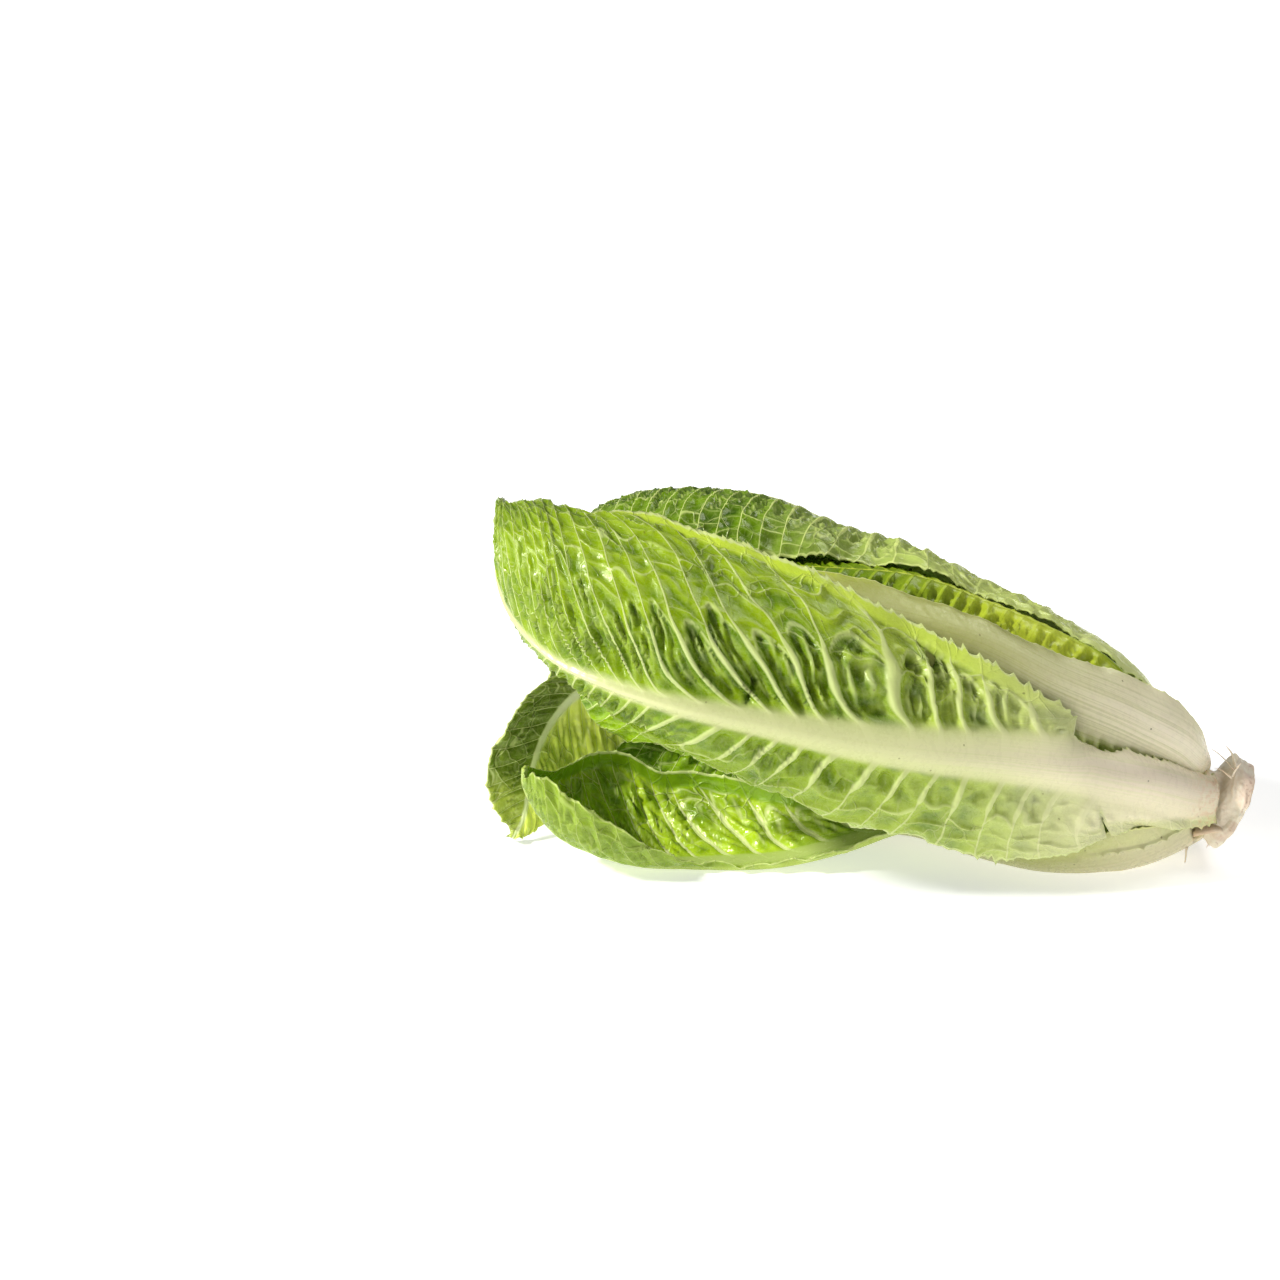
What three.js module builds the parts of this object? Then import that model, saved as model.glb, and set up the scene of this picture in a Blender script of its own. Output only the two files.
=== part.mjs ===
import * as THREE from 'three';

// Romaine heart: one trimmed lettuce head lying on its side, in millimetres.
// +X points to the cut stem end, -X to the leaf tips, -Y is the front, +Z is up.
// A leaf is set by stations from its base to its tip. Each station holds three points:
// the rib, the margin on one side and the margin on the other, each as x, y, z.
// The blade bends as an arc from the rib to each margin, and leaves the rib square to it.

const BLADE_THICKNESS = 0.9;
const TABLE_LIFT = 0.95; // inner face of a blade that lies flat on the table
const CENTRE_X = 1.5; // middle of the whole heart before it is moved to the origin
const CENTRE_Y = 3.0;

const TIP_CROWDING = 1.25; // rows of a leaf lie closer together towards its tip
const TOOTH_DEPTH = 0.045; // part of the half width that a notch in the margin takes
const RIB_COLUMNS = [0, 0.55, 1];

const COLOURS = {
  outerGreen: 0x9cc04e,
  midGreen: 0x8ab53c,
  innerGreen: 0x79a82c,
  yellowGreen: 0xb4cc66,
  cream: 0xd9d7a8,
  pale: 0xdfe3ae,
  stem: 0xe6dcc4,
};

const LEAVES = {
  leaf_front: {
    colour: COLOURS.outerGreen,
    ribHalfWidth: [9, 8, 6, 4, 2.5, 1.5],
    ribHeight: [3.6, 3.4, 2.8, 2.2, 1.5, 0.6],
    ruffle: 1.8,
    waves: 9,
    rows: 30,
    bladeColumns: 5,
    stations: [
      [114, -10, 25, 114, -7.5, 29.5, 114, -12, 19],
      [103, -18, 30, 103, -13.5, 36, 104, -19, 19],
      [90, -26, 37, 89, -22, 43, 91, -25, 20],
      [72, -34, 44, 71, -29, 49, 75, -31, 20],
      [67, -36, 46, 66, -30, 52, 70, -32, 18],
      [58, -39, 48.5, 64, -32, 61, 59, -34, 15],
      [40, -43, 52.5, 38, -31, 77, 38, -37, 14.5],
      [16, -48, 57, 8, -27, 92, 10, -38, 23.5],
      [-9, -51, 62, -22, -24, 107, -18, -39, 32],
      [-38, -53, 69, -55, -12, 116, -45, -38, 44],
      [-62, -52.5, 74, -80, 3, 118, -66, -35, 55],
      [-84, -45, 78, -98, 10, 116, -84, -30, 64],
      [-103, -31, 82, -109, 14, 117, -98, -18, 72],
      [-115, -17, 89, -116, 17, 116, -110, -4, 80],
      [-121, -1, 97, -120, 19, 115.5, -119, 8, 90],
      [-122, 12, 107, -121, 20, 114, -122, 16, 104],
    ],
  },
  leaf_top: {
    colour: COLOURS.cream,
    ribHalfWidth: [6, 9, 11, 8, 5, 2],
    ribHeight: [2.2, 2.2, 2, 1.4, 1, 0.5],
    ruffle: 0.8,
    waves: 7,
    rows: 22,
    bladeColumns: 3,
    stations: [
      [112, -1, 32, 112, 2, 32, 112, -4, 31],
      [108, -8, 36, 109, -5, 44, 108, -9, 30],
      [102, -12, 43, 103, -8, 54, 101, -13, 34],
      [84, -18, 55, 84, -11, 67, 83, -20, 41],
      [57, -24, 69, 57, -13, 78.5, 56, -29, 54],
      [31, -24, 83, 31, -13, 91, 30, -33, 66],
      [6, -25, 91, 5, -12, 100, 4, -37, 74],
      [-22, -25, 97, -24, -10, 104, -24, -38, 82],
      [-50, -23, 100, -54, -7, 105, -52, -37, 86],
      [-78, -19, 98, -82, -4, 102, -78, -31, 88],
      [-96, -13, 94, -98, -5, 97, -95, -20, 90],
    ],
  },
  leaf_top_inner: {
    colour: COLOURS.midGreen,
    ribHalfWidth: [4, 4, 3, 2, 1.5],
    ribHeight: [1.5, 1.5, 1.2, 0.8, 0.4],
    ruffle: 1.2,
    waves: 10,
    rows: 20,
    bladeColumns: 3,
    stations: [
      [104, 1, 36, 104, 5, 34, 104, -3, 34],
      [96, -2, 48, 96, 5, 45, 96, -8, 44],
      [84, -3, 61.5, 84, 8, 59, 84, -11, 56],
      [60, -3.5, 76, 60, 10, 72.5, 60, -15, 70],
      [35, -3.5, 87.5, 35, 13, 84.5, 35, -17, 81],
      [8, -4, 98, 8, 15, 94, 8, -19, 90],
      [-22, -6, 102, -24, 14, 99, -22, -19, 95],
      [-50, -6, 102.5, -54, 11, 100, -50, -17, 96],
      [-76, -3, 96.5, -80, 8, 95, -76, -12, 92],
      [-90, -1, 90, -92, 4, 90, -90, -5, 89],
    ],
  },
  leaf_back_top: {
    colour: COLOURS.outerGreen,
    ribHalfWidth: [5, 8, 7, 5, 3, 1.5],
    ribHeight: [2.2, 2.6, 2.4, 1.8, 1.2, 0.5],
    ruffle: 1.5,
    waves: 9,
    rows: 26,
    bladeColumns: 4,
    stations: [
      [112, 8, 28, 112, 10.4, 25, 112, 5, 30.5],
      [106, 11, 36, 106, 12.5, 31.5, 106, 5, 39],
      [97, 17, 45, 97, 18.5, 36, 97, 4, 51],
      [81, 24, 60, 81, 26.5, 45, 81, 1, 67],
      [63, 28, 70, 63, 32, 50, 63, 0.5, 78],
      [38, 31, 81.5, 38, 39.5, 52, 40, 0, 88.5],
      [12, 34, 94, 12, 45.5, 60, 14, -0.5, 99.5],
      [-8, 35, 100, -8, 47.5, 65, -8, -1, 104],
      [-32, 37, 110, -32, 49, 67.5, -32, -4, 107],
      [-55, 38, 113, -55, 50.5, 69, -56, -3, 110],
      [-78, 37, 111, -78, 50, 70, -80, 4, 111],
      [-90, 33, 107, -91, 44, 75, -92, 14, 110],
      [-96, 28, 103, -97, 36, 88, -97, 21, 106],
    ],
  },
  leaf_bottom: {
    colour: COLOURS.cream,
    ribHalfWidth: [5, 9, 10, 7, 4, 1.5],
    ribHeight: [2, 2.4, 2.4, 1.6, 1, 0.5],
    ruffle: 1.0,
    waves: 7,
    rows: 22,
    bladeColumns: 3,
    stations: [
      [112, -5.5, 10, 112, -9.5, 15, 112, 0, 8.5],
      [104, -9, 7, 104, -15.5, 18.5, 104, 2, 6],
      [92, -12, 3, 92, -22, 19, 92, 6, 4],
      [75, -14, 0.5, 75, -27.5, 19, 75, 9, 2],
      [58, -12, 0.5, 58, -28, 13, 58, 13, 2],
      [38, -5, 2.5, 38, -22, 12, 38, 17, 3],
      [16, 8, 4, 16, -3, 8.5, 16, 22, 5],
      [-10, 15, 1.5, -10, 5, 5, -10, 27, 4.5],
      [-35, 18, 1, -35, 8, 4.5, -35, 28, 4.5],
      [-58, 20, 1.5, -60, 12, 3.5, -58, 27, 4.5],
      [-72, 21, 4, -73, 17, 5, -72, 25, 5],
    ],
  },
  leaf_low: {
    colour: COLOURS.innerGreen,
    ribHalfWidth: [4, 5, 5, 4.5, 4, 3, 1.5],
    ribHeight: [2, 2.4, 2.4, 2.2, 1.8, 1.2, 0.5],
    ruffle: 1.2,
    waves: 8,
    rows: 28,
    bladeColumns: 4,
    stations: [
      [104, 2, 13, 104, -3, 13.5, 104, 7, 14],
      [92, 2, 10, 92, -5, 10.5, 92, 9, 11],
      [75, 1, 8, 75, -7, 8.5, 75, 10, 9.5],
      [58, 0, 8, 58, -9, 9, 58, 10, 10],
      [38, -4, 11, 38, -13, 12, 38, 7, 13.5],
      [12, -11, 14.5, 12, -16, 15.5, 12, 4, 17],
      [-8, -14, 8.5, -8, -19, 9.5, -10, 6, 15],
      [-30, -14, 2.8, -30, -19, 4.5, -34, 14, 17],
      [-47, -13, 1.2, -48, -19, 3.5, -54, 18, 19.5],
      [-62, -13, 1.2, -62, -20, 6.5, -70, 19, 21],
      [-76, -14, 2.5, -76, -29, 17, -82, 20, 28],
      [-90, -13, 6, -90, -32, 28, -94, 17, 28.5],
      [-102, -12.5, 12, -101, -30, 35, -101, 12, 27],
      [-109, -13, 21, -108, -25, 38, -106, 4, 29],
      [-113, -15, 31, -111, -21, 39, -110, -5, 34],
      [-113, -18, 38, -112, -20, 40, -112, -15, 39],
    ],
  },
  leaf_low_tip: {
    colour: COLOURS.midGreen,
    ribHalfWidth: [3, 4, 4, 3.5, 3, 2, 1.2],
    ribHeight: [1.6, 1.8, 1.6, 1.4, 1.2, 0.8, 0.4],
    ruffle: 0.8,
    waves: 6,
    rows: 28,
    bladeColumns: 3,
    stations: [
      [100, 6, 24, 100, 6, 20, 100, 6, 28],
      [75, 14, 28, 75, 13, 23, 75, 14, 33],
      [40, 23, 34, 40, 21, 28, 40, 23, 41],
      [0, 30, 40, 0, 27, 32, 0, 30, 49],
      [-40, 34, 45, -40, 32, 33, -41, 33, 54],
      [-70, 34, 48, -68, 34, 31, -72, 33, 56],
      [-86, 32, 48, -79, 33, 26, -92, 32, 55],
      [-95, 30, 45, -85, 31, 20, -104, 28, 51],
      [-103, 26, 38.5, -92, 29, 15, -114, 20, 46],
      [-108.5, 20, 31, -99, 22, 10, -121, 13, 38],
      [-111.5, 15, 23, -105, 15, 6, -125.5, 8, 28],
      [-113, 11, 15, -110, 9, 4, -126, 6, 17],
      [-115, 7, 7, -113, 5, 2, -123, 5, 8],
      [-118, 4.5, 2, -116, 4, 1.2, -121, 4.2, 2.5],
    ],
  },
  leaf_back: {
    colour: COLOURS.outerGreen,
    ribHalfWidth: [5, 9, 7, 5, 3, 1.5],
    ribHeight: [2.2, 3, 2.6, 2, 1.2, 0.5],
    ruffle: 1.8,
    waves: 8,
    rows: 20,
    bladeColumns: 3,
    stations: [
      [112, 11.5, 20, 112, 11, 17, 112, 11, 23],
      [104, 18, 25, 104, 16, 17, 104, 16, 32],
      [92, 28, 29, 92, 25, 18, 92, 25, 41],
      [75, 38, 36, 75, 34, 21, 75, 34, 51],
      [45, 46, 44, 45, 42, 25, 45, 42, 62],
      [10, 53, 53, 8, 49, 31, 8, 49, 74],
      [-25, 58, 59, -28, 54, 36, -28, 54, 82],
      [-55, 60, 61, -60, 56, 38, -60, 56, 84],
      [-85, 57, 62, -91, 52, 42, -91, 52, 82],
      [-106, 49, 64, -109, 46, 53, -109, 46, 75],
      [-114, 44, 66, -115, 43, 62, -115, 43, 70],
    ],
  },
  leaf_back_low: {
    colour: COLOURS.midGreen,
    ribHalfWidth: [4, 7, 6, 4, 3, 1.5],
    ribHeight: [2, 2.6, 2.4, 1.8, 1.2, 0.5],
    ruffle: 1.4,
    waves: 8,
    rows: 20,
    bladeColumns: 3,
    stations: [
      [112, 8.5, 13, 112, 5.5, 10, 112, 10, 15],
      [104, 12, 15, 104, 8, 10, 104, 13.5, 19],
      [92, 20, 16, 92, 14, 9, 92, 22, 27],
      [75, 28, 17, 75, 20, 8, 75, 30, 34],
      [45, 35, 21, 45, 27, 9, 44, 38, 42],
      [10, 40, 25, 10, 29, 9, 8, 45, 52],
      [-25, 43, 29, -27, 31, 9, -28, 49, 60],
      [-55, 43, 31, -60, 30, 10, -60, 50, 64],
      [-80, 40, 36, -86, 32, 18, -84, 46, 66],
      [-97, 36, 43, -100, 34, 28, -99, 41, 64],
      [-106, 33, 49, -107, 33, 44, -107, 36, 57],
    ],
  },
  leaf_core: {
    colour: COLOURS.yellowGreen,
    ribHalfWidth: [3, 5, 4, 3, 2, 1.2],
    ribHeight: [1.6, 2, 1.6, 1.2, 0.8, 0.4],
    ruffle: 1.2,
    waves: 8,
    rows: 16,
    bladeColumns: 2,
    stations: [
      [92, -9, 29, 92, -7, 33, 92, -7, 25],
      [75, -13, 35, 75, -7, 44, 75, -9, 25],
      [45, -19, 43, 45, -8, 57, 45, -12, 30],
      [10, -23, 52, 10, -8, 70, 10, -14, 36],
      [-25, -26, 58, -26, -8, 76, -26, -16, 40],
      [-55, -26, 61, -58, -8, 80, -58, -17, 43],
      [-80, -22, 63, -84, -8, 78, -84, -14, 48],
      [-94, -15, 65, -96, -9, 72, -96, -11, 58],
    ],
  },
  leaf_core_back: {
    colour: COLOURS.yellowGreen,
    ribHalfWidth: [3, 4, 4, 3, 2, 1.2],
    ribHeight: [1.4, 1.8, 1.6, 1.2, 0.8, 0.4],
    ruffle: 1.2,
    waves: 8,
    rows: 16,
    bladeColumns: 2,
    stations: [
      [88, 6, 37, 88, 8, 33, 88, 3, 39],
      [60, 14, 50, 60, 17, 42, 60, 8, 56],
      [25, 19, 62, 25, 24, 50, 25, 9, 72],
      [-15, 23, 70, -16, 28, 55, -16, 9, 82],
      [-50, 24, 74, -52, 29, 60, -52, 9, 87],
      [-78, 20, 76, -82, 24, 64, -82, 9, 84],
      [-92, 14, 78, -94, 16, 72, -94, 9, 82],
    ],
  },
};

// The stem is round about a line that slopes down to the cut face: distance along that
// line from the cut face, and radius there.
const STEM_CUT_CENTRE = [122.5, -1, 16.5];
const STEM_SLOPE_DEG = 26;
const STEM_PROFILE = [
  [0, 0],
  [0, 14.2],
  [1, 15.2],
  [3.5, 14.6],
  [5, 11.5],
  [6, 7.8],
  [12, 7.2],
  [18, 5.6],
  [24, 3.2],
  [27, 1.2],
  [28, 0],
];
const STEM_SIDES = 24;
const STEM_LOBE = 0.05;

function curveKnots(stations) {
  const knots = [0];
  for (let i = 1; i < stations.length; i += 1) {
    const a = new THREE.Vector3(...stations[i - 1].slice(0, 3));
    const b = new THREE.Vector3(...stations[i].slice(0, 3));
    knots.push(knots[i - 1] + a.distanceTo(b));
  }
  const total = knots[knots.length - 1];
  return knots.map((k) => k / total);
}

function slope(values, knots, i) {
  const last = knots.length - 1;
  const rise = (j) => (values[j + 1] - values[j]) / (knots[j + 1] - knots[j]);
  if (i === 0) return rise(0);
  if (i === last) return rise(last - 1);
  const before = knots[i] - knots[i - 1];
  const after = knots[i + 1] - knots[i];
  return (rise(i - 1) * after + rise(i) * before) / (before + after);
}

function smooth(values, knots, s) {
  let i = 0;
  while (i < knots.length - 2 && s > knots[i + 1]) i += 1;
  const h = knots[i + 1] - knots[i];
  const q = (s - knots[i]) / h;
  const m0 = slope(values, knots, i) * h;
  const m1 = slope(values, knots, i + 1) * h;
  const q2 = q * q;
  const q3 = q2 * q;
  return (2 * q3 - 3 * q2 + 1) * values[i] + (q3 - 2 * q2 + q) * m0
    + (3 * q2 - 2 * q3) * values[i + 1] + (q3 - q2) * m1;
}

function even(values, s) {
  const knots = values.map((_, i) => i / (values.length - 1));
  return smooth(values, knots, s);
}

// One cross line of a leaf: rib point, direction across it, and an arc to each margin.
function section(leaf, s) {
  const at = (column, q) => smooth(leaf.stations.map((r) => r[column]), leaf.knots, q);
  const point = (first, q) => new THREE.Vector3(at(first, q), at(first + 1, q), at(first + 2, q));
  const step = 1e-3;
  const rib = point(0, s);
  const along = point(0, Math.min(1, s + step)).sub(point(0, Math.max(0, s - step))).normalize();
  const chords = [point(3, s).sub(rib), point(6, s).sub(rib)];
  const across = chords[0].clone().normalize().sub(chords[1].clone().normalize());
  across.addScaledVector(along, -across.dot(along)).normalize();
  const sides = chords.map((chord, k) => {
    const out = across.clone().multiplyScalar(k === 0 ? 1 : -1);
    const reach = chord.dot(out);
    const bend = chord.clone().addScaledVector(out, -reach);
    const depth = Math.max(bend.length(), 1e-4);
    const curl = 2 * Math.atan2(depth, reach);
    const radius = depth / (1 - Math.cos(curl));
    return { out, bend: bend.normalize(), curl, radius, halfWidth: radius * curl };
  });
  return { rib, sides };
}

function onBlade(cut, distance) {
  const side = cut.sides[distance >= 0 ? 0 : 1];
  const angle = Math.abs(distance) / side.radius;
  return cut.rib.clone()
    .addScaledVector(side.out, side.radius * Math.sin(angle))
    .addScaledVector(side.bend, side.radius * (1 - Math.cos(angle)));
}

function leafMesh(name, leaf) {
  leaf.knots = curveKnots(leaf.stations);
  const columnsPerSide = RIB_COLUMNS.length - 1 + leaf.bladeColumns;
  const rows = [];
  for (let i = 0; i <= leaf.rows; i += 1) {
    const s = 1 - (1 - i / leaf.rows) ** TIP_CROWDING;
    const cut = section(leaf, s);
    const ribWide = even(leaf.ribHalfWidth, s);
    const ribHigh = even(leaf.ribHeight, s);
    const row = [];
    for (let j = -columnsPerSide; j <= columnsPerSide; j += 1) {
      const side = cut.sides[j >= 0 ? 0 : 1];
      const notch = i % 2 === 0 ? 1 : 1 - TOOTH_DEPTH;
      const edge = side.halfWidth * notch;
      const ribEdge = Math.min(ribWide, side.halfWidth * 0.8);
      const k = Math.abs(j);
      const inRib = k < RIB_COLUMNS.length;
      const outward = (k - RIB_COLUMNS.length + 1) / leaf.bladeColumns;
      const distance = inRib ? ribEdge * RIB_COLUMNS[k] : ribEdge + (edge - ribEdge) * outward;
      const rise = inRib ? 1 - RIB_COLUMNS[k] ** 2 : 0;
      const wave = inRib ? 0 : outward ** 2;
      row.push({
        place: onBlade(cut, j >= 0 ? distance : -distance),
        rib: ribHigh * rise,
        wave: leaf.ruffle * wave * Math.sin(2 * Math.PI * leaf.waves * s + (j > 0 ? 0 : 2)),
      });
    }
    rows.push(row);
  }
  return blade(name, leaf, rows);
}

function blade(name, leaf, rows) {
  const down = rows.length;
  const over = rows[0].length;
  const outer = [];
  const inner = [];
  for (let i = 0; i < down; i += 1) {
    for (let j = 0; j < over; j += 1) {
      const cell = rows[i][j];
      const along = rows[Math.min(i + 1, down - 1)][j].place.clone()
        .sub(rows[Math.max(i - 1, 0)][j].place);
      const across = rows[i][Math.min(j + 1, over - 1)].place.clone()
        .sub(rows[i][Math.max(j - 1, 0)].place);
      const normal = across.cross(along).normalize();
      const out = cell.place.clone()
        .addScaledVector(normal, BLADE_THICKNESS / 2 + cell.rib + cell.wave);
      const back = cell.place.clone()
        .addScaledVector(normal, -BLADE_THICKNESS / 2 + cell.wave);
      outer.push(new THREE.Vector3(out.x, out.y, Math.max(out.z, 0)));
      inner.push(new THREE.Vector3(back.x, back.y, Math.max(back.z, TABLE_LIFT)));
    }
  }
  return solid(name, leaf.colour, outer, inner, down, over);
}

function solid(name, colour, outer, inner, down, over) {
  const points = [...outer, ...inner];
  const shift = outer.length;
  const faces = [];
  const at = (i, j) => i * over + j;
  const quad = (a, b, c, d) => faces.push(a, b, c, a, c, d);
  for (let i = 0; i < down - 1; i += 1) {
    for (let j = 0; j < over - 1; j += 1) {
      const [a, b, c, d] = [at(i, j), at(i, j + 1), at(i + 1, j + 1), at(i + 1, j)];
      faces.push(a, b, c, a, c, d);
      faces.push(shift + a, shift + c, shift + b, shift + a, shift + d, shift + c);
    }
    const [left, leftNext] = [at(i, 0), at(i + 1, 0)];
    const [right, rightNext] = [at(i, over - 1), at(i + 1, over - 1)];
    quad(shift + left, left, leftNext, shift + leftNext);
    quad(right, shift + right, shift + rightNext, rightNext);
  }
  for (let j = 0; j < over - 1; j += 1) {
    const [base, baseNext] = [at(0, j), at(0, j + 1)];
    const [tip, tipNext] = [at(down - 1, j), at(down - 1, j + 1)];
    quad(base, shift + base, shift + baseNext, baseNext);
    quad(shift + tip, tip, tipNext, shift + tipNext);
  }
  return named(name, colour, points, faces);
}

function named(name, colour, points, faces) {
  const geometry = new THREE.BufferGeometry();
  const flat = points.flatMap((p) => [p.x - CENTRE_X, p.y - CENTRE_Y, p.z]);
  geometry.setAttribute('position', new THREE.Float32BufferAttribute(flat, 3));
  geometry.setIndex(faces);
  geometry.computeVertexNormals();
  const material = new THREE.MeshStandardMaterial({ color: colour, roughness: 0.55, metalness: 0 });
  const mesh = new THREE.Mesh(geometry, material);
  mesh.name = name;
  return mesh;
}

function stemMesh() {
  const slope = THREE.MathUtils.degToRad(STEM_SLOPE_DEG);
  const inward = new THREE.Vector3(-Math.cos(slope), 0, Math.sin(slope));
  const side = new THREE.Vector3(0, 1, 0);
  const upward = new THREE.Vector3().crossVectors(inward, side);
  const points = [];
  const faces = [];
  const rings = STEM_PROFILE.slice(1, -1);
  for (const [reach, radius] of rings) {
    for (let k = 0; k < STEM_SIDES; k += 1) {
      const turn = 2 * Math.PI * k / STEM_SIDES;
      const lobed = radius * (1 + STEM_LOBE * Math.cos(3 * turn));
      points.push(new THREE.Vector3(...STEM_CUT_CENTRE)
        .addScaledVector(inward, reach)
        .addScaledVector(side, lobed * Math.cos(turn))
        .addScaledVector(upward, lobed * Math.sin(turn)));
    }
  }
  const centre = points.length;
  points.push(new THREE.Vector3(...STEM_CUT_CENTRE));
  const apex = points.length;
  const tipReach = STEM_PROFILE[STEM_PROFILE.length - 1][0];
  points.push(new THREE.Vector3(...STEM_CUT_CENTRE).addScaledVector(inward, tipReach));
  for (let k = 0; k < STEM_SIDES; k += 1) {
    const next = (k + 1) % STEM_SIDES;
    faces.push(centre, next, k);
    for (let i = 0; i < rings.length - 1; i += 1) {
      const [a, b] = [i * STEM_SIDES + k, i * STEM_SIDES + next];
      const [c, d] = [b + STEM_SIDES, a + STEM_SIDES];
      faces.push(a, b, c, a, c, d);
    }
    const last = (rings.length - 1) * STEM_SIDES;
    faces.push(apex, last + k, last + next);
  }
  return named('stem', COLOURS.stem, points, faces);
}

const heart = new THREE.Group();
heart.name = 'romaine_heart';
heart.add(stemMesh());
for (const [name, leaf] of Object.entries(LEAVES)) heart.add(leafMesh(name, leaf));

export default heart;
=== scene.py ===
import math
from types import SimpleNamespace

import bmesh
import bpy
import numpy as np
from mathutils import Matrix, Vector


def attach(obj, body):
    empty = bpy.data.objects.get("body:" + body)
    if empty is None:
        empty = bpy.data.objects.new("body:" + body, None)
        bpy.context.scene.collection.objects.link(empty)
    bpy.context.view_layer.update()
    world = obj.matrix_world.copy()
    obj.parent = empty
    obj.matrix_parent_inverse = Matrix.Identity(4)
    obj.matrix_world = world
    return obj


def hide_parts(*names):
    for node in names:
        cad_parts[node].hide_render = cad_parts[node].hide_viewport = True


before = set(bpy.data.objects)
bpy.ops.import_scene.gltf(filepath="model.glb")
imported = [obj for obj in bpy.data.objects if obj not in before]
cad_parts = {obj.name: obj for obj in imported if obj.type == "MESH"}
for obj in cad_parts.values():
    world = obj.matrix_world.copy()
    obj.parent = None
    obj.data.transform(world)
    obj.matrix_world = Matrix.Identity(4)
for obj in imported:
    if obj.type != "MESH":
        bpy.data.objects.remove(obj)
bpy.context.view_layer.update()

# ---------------------------------------------------------------------------
# Front leaf. The big outer leaf of the head, seen from its outer side: a broad
# white rib, deep puckers between the side veins, and a thin toothed margin.
# ---------------------------------------------------------------------------
MM = 0.001
MIDDLE = np.array([1.5, 3.0, 0.0])  # middle of the heart's footprint in the leaf tables
TABLE_GAP = 0.02  # how far a leaf's outer side stays above the table
CLOSER_TO_TIP = 1.25  # above 1, a leaf's rows stand closer towards its tip


def run_through(values, knots, at):
    """A smooth curve through stations that stand at uneven distances."""
    values = np.asarray(values, float).reshape(len(knots), -1)
    span = np.diff(knots)
    rise = np.diff(values, axis=0) / span[:, None]
    lean = np.empty_like(values)
    both = (span[:-1] + span[1:])[:, None]
    lean[1:-1] = (rise[:-1] * span[1:, None] + rise[1:] * span[:-1, None]) / both
    lean[0], lean[-1] = rise[0], rise[-1]
    i = np.clip(np.searchsorted(knots, at, side="right") - 1, 0, len(span) - 1)
    q = ((at - knots[i]) / span[i])[:, None]
    h = span[i][:, None]
    return (
        (2 * q**3 - 3 * q**2 + 1) * values[i]
        + (q**3 - 2 * q**2 + q) * h * lean[i]
        + (3 * q**2 - 2 * q**3) * values[i + 1]
        + (q**3 - q**2) * h * lean[i + 1]
    )


def curve_along(values, s):
    """Values given at even steps from base to tip, read at s on a smooth curve."""
    return run_through(values, np.linspace(0, 1, len(values)), s)[:, 0]


def line_along(values, s):
    """Values given at even steps from base to tip, read at s on straight lines."""
    return np.interp(s, np.linspace(0, 1, len(values)), values)


def ease(low, high, value):
    """0 up to low, 1 from high on, and a smooth step between them."""
    q = np.clip((value - low) / (high - low), 0, 1)
    return q * q * (3 - 2 * q)


def between(rise, fall, value):
    """Goes from 0 to 1 over the first stretch and back to 0 over the second."""
    return ease(*rise, value) * (1 - ease(*fall, value))


def bell(value, width):
    """1 where value is 0, fading out on both sides of it."""
    return np.exp(-((value / width) ** 2))


def drift(a, b, size, seed):
    """Slow, seeded unevenness over a leaf, about -1 to 1, with lumps of this size."""
    rng = np.random.default_rng(seed)
    total = 0
    for _ in range(7):
        turn, start = rng.uniform(0, 2 * np.pi, 2)
        wave = 2 * np.pi / (size * rng.uniform(0.7, 1.7))
        total = total + np.sin(wave * (a * np.cos(turn) + b * np.sin(turn)) + start)
    return total / 3.2


def teeth_line(a, gap, height, seed):
    """Fine pointed teeth along a margin: how far each row's edge stands out."""
    rng = np.random.default_rng(seed)
    out = np.zeros_like(a)
    place = rng.uniform(0, gap)
    while place < a[-1]:
        tip = np.argmin(np.abs(a - place))
        wide = rng.uniform(0.8, 1.5)
        tall = height * rng.uniform(0.35, 1)
        out = np.maximum(out, tall * (1 - np.abs(a - a[tip]) / wide))
        place += gap * rng.uniform(0.45, 1.6)
    return out


def leaf_sheet(stations, rows, columns):
    """The middle sheet of a leaf: the rib's line, and the round curl of either side."""
    stations = np.asarray(stations, float)
    knots = np.r_[0, np.cumsum(np.linalg.norm(np.diff(stations[:, :3], axis=0), axis=1))]
    length = knots[-1]
    s = 1 - (1 - np.linspace(0, 1, rows + 1)) ** CLOSER_TO_TIP
    cut = run_through(stations, knots / length, s)
    step = 1e-3
    ahead = run_through(stations[:, :3], knots / length, np.minimum(s + step, 1))
    behind = run_through(stations[:, :3], knots / length, np.maximum(s - step, 0))
    forward = ahead - behind
    forward /= np.linalg.norm(forward, axis=1, keepdims=True)
    rib = cut[:, :3]
    chords = [cut[:, 3:6] - rib, cut[:, 6:9] - rib]
    unit = [c / np.linalg.norm(c, axis=1, keepdims=True) for c in chords]
    across = unit[0] - unit[1]
    across -= forward * (across * forward).sum(1, keepdims=True)
    across /= np.linalg.norm(across, axis=1, keepdims=True)
    sides = []
    for out, chord in zip((across, -across), chords):
        reach = (chord * out).sum(1, keepdims=True)
        bend = chord - out * reach
        depth = np.maximum(np.linalg.norm(bend, axis=1, keepdims=True), 1e-4)
        curl = 2 * np.arctan2(depth, reach)
        radius = depth / (1 - np.cos(curl))
        half = (radius * curl)[:, 0]
        sides.append(SimpleNamespace(out=out, bend=bend / depth, radius=radius, half=half))
    return SimpleNamespace(s=s, a=s * length, rib=rib, sides=sides, x=np.linspace(-1, 1, columns + 1))


def on_sheet(sheet, k, distance):
    """Points of the middle sheet at these distances from the rib, on side k."""
    side = sheet.sides[k]
    angle = distance / side.radius
    return (
        sheet.rib[:, None]
        + side.out[:, None] * (side.radius * np.sin(angle))[..., None]
        + side.bend[:, None] * (side.radius * (1 - np.cos(angle)))[..., None]
    )


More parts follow.
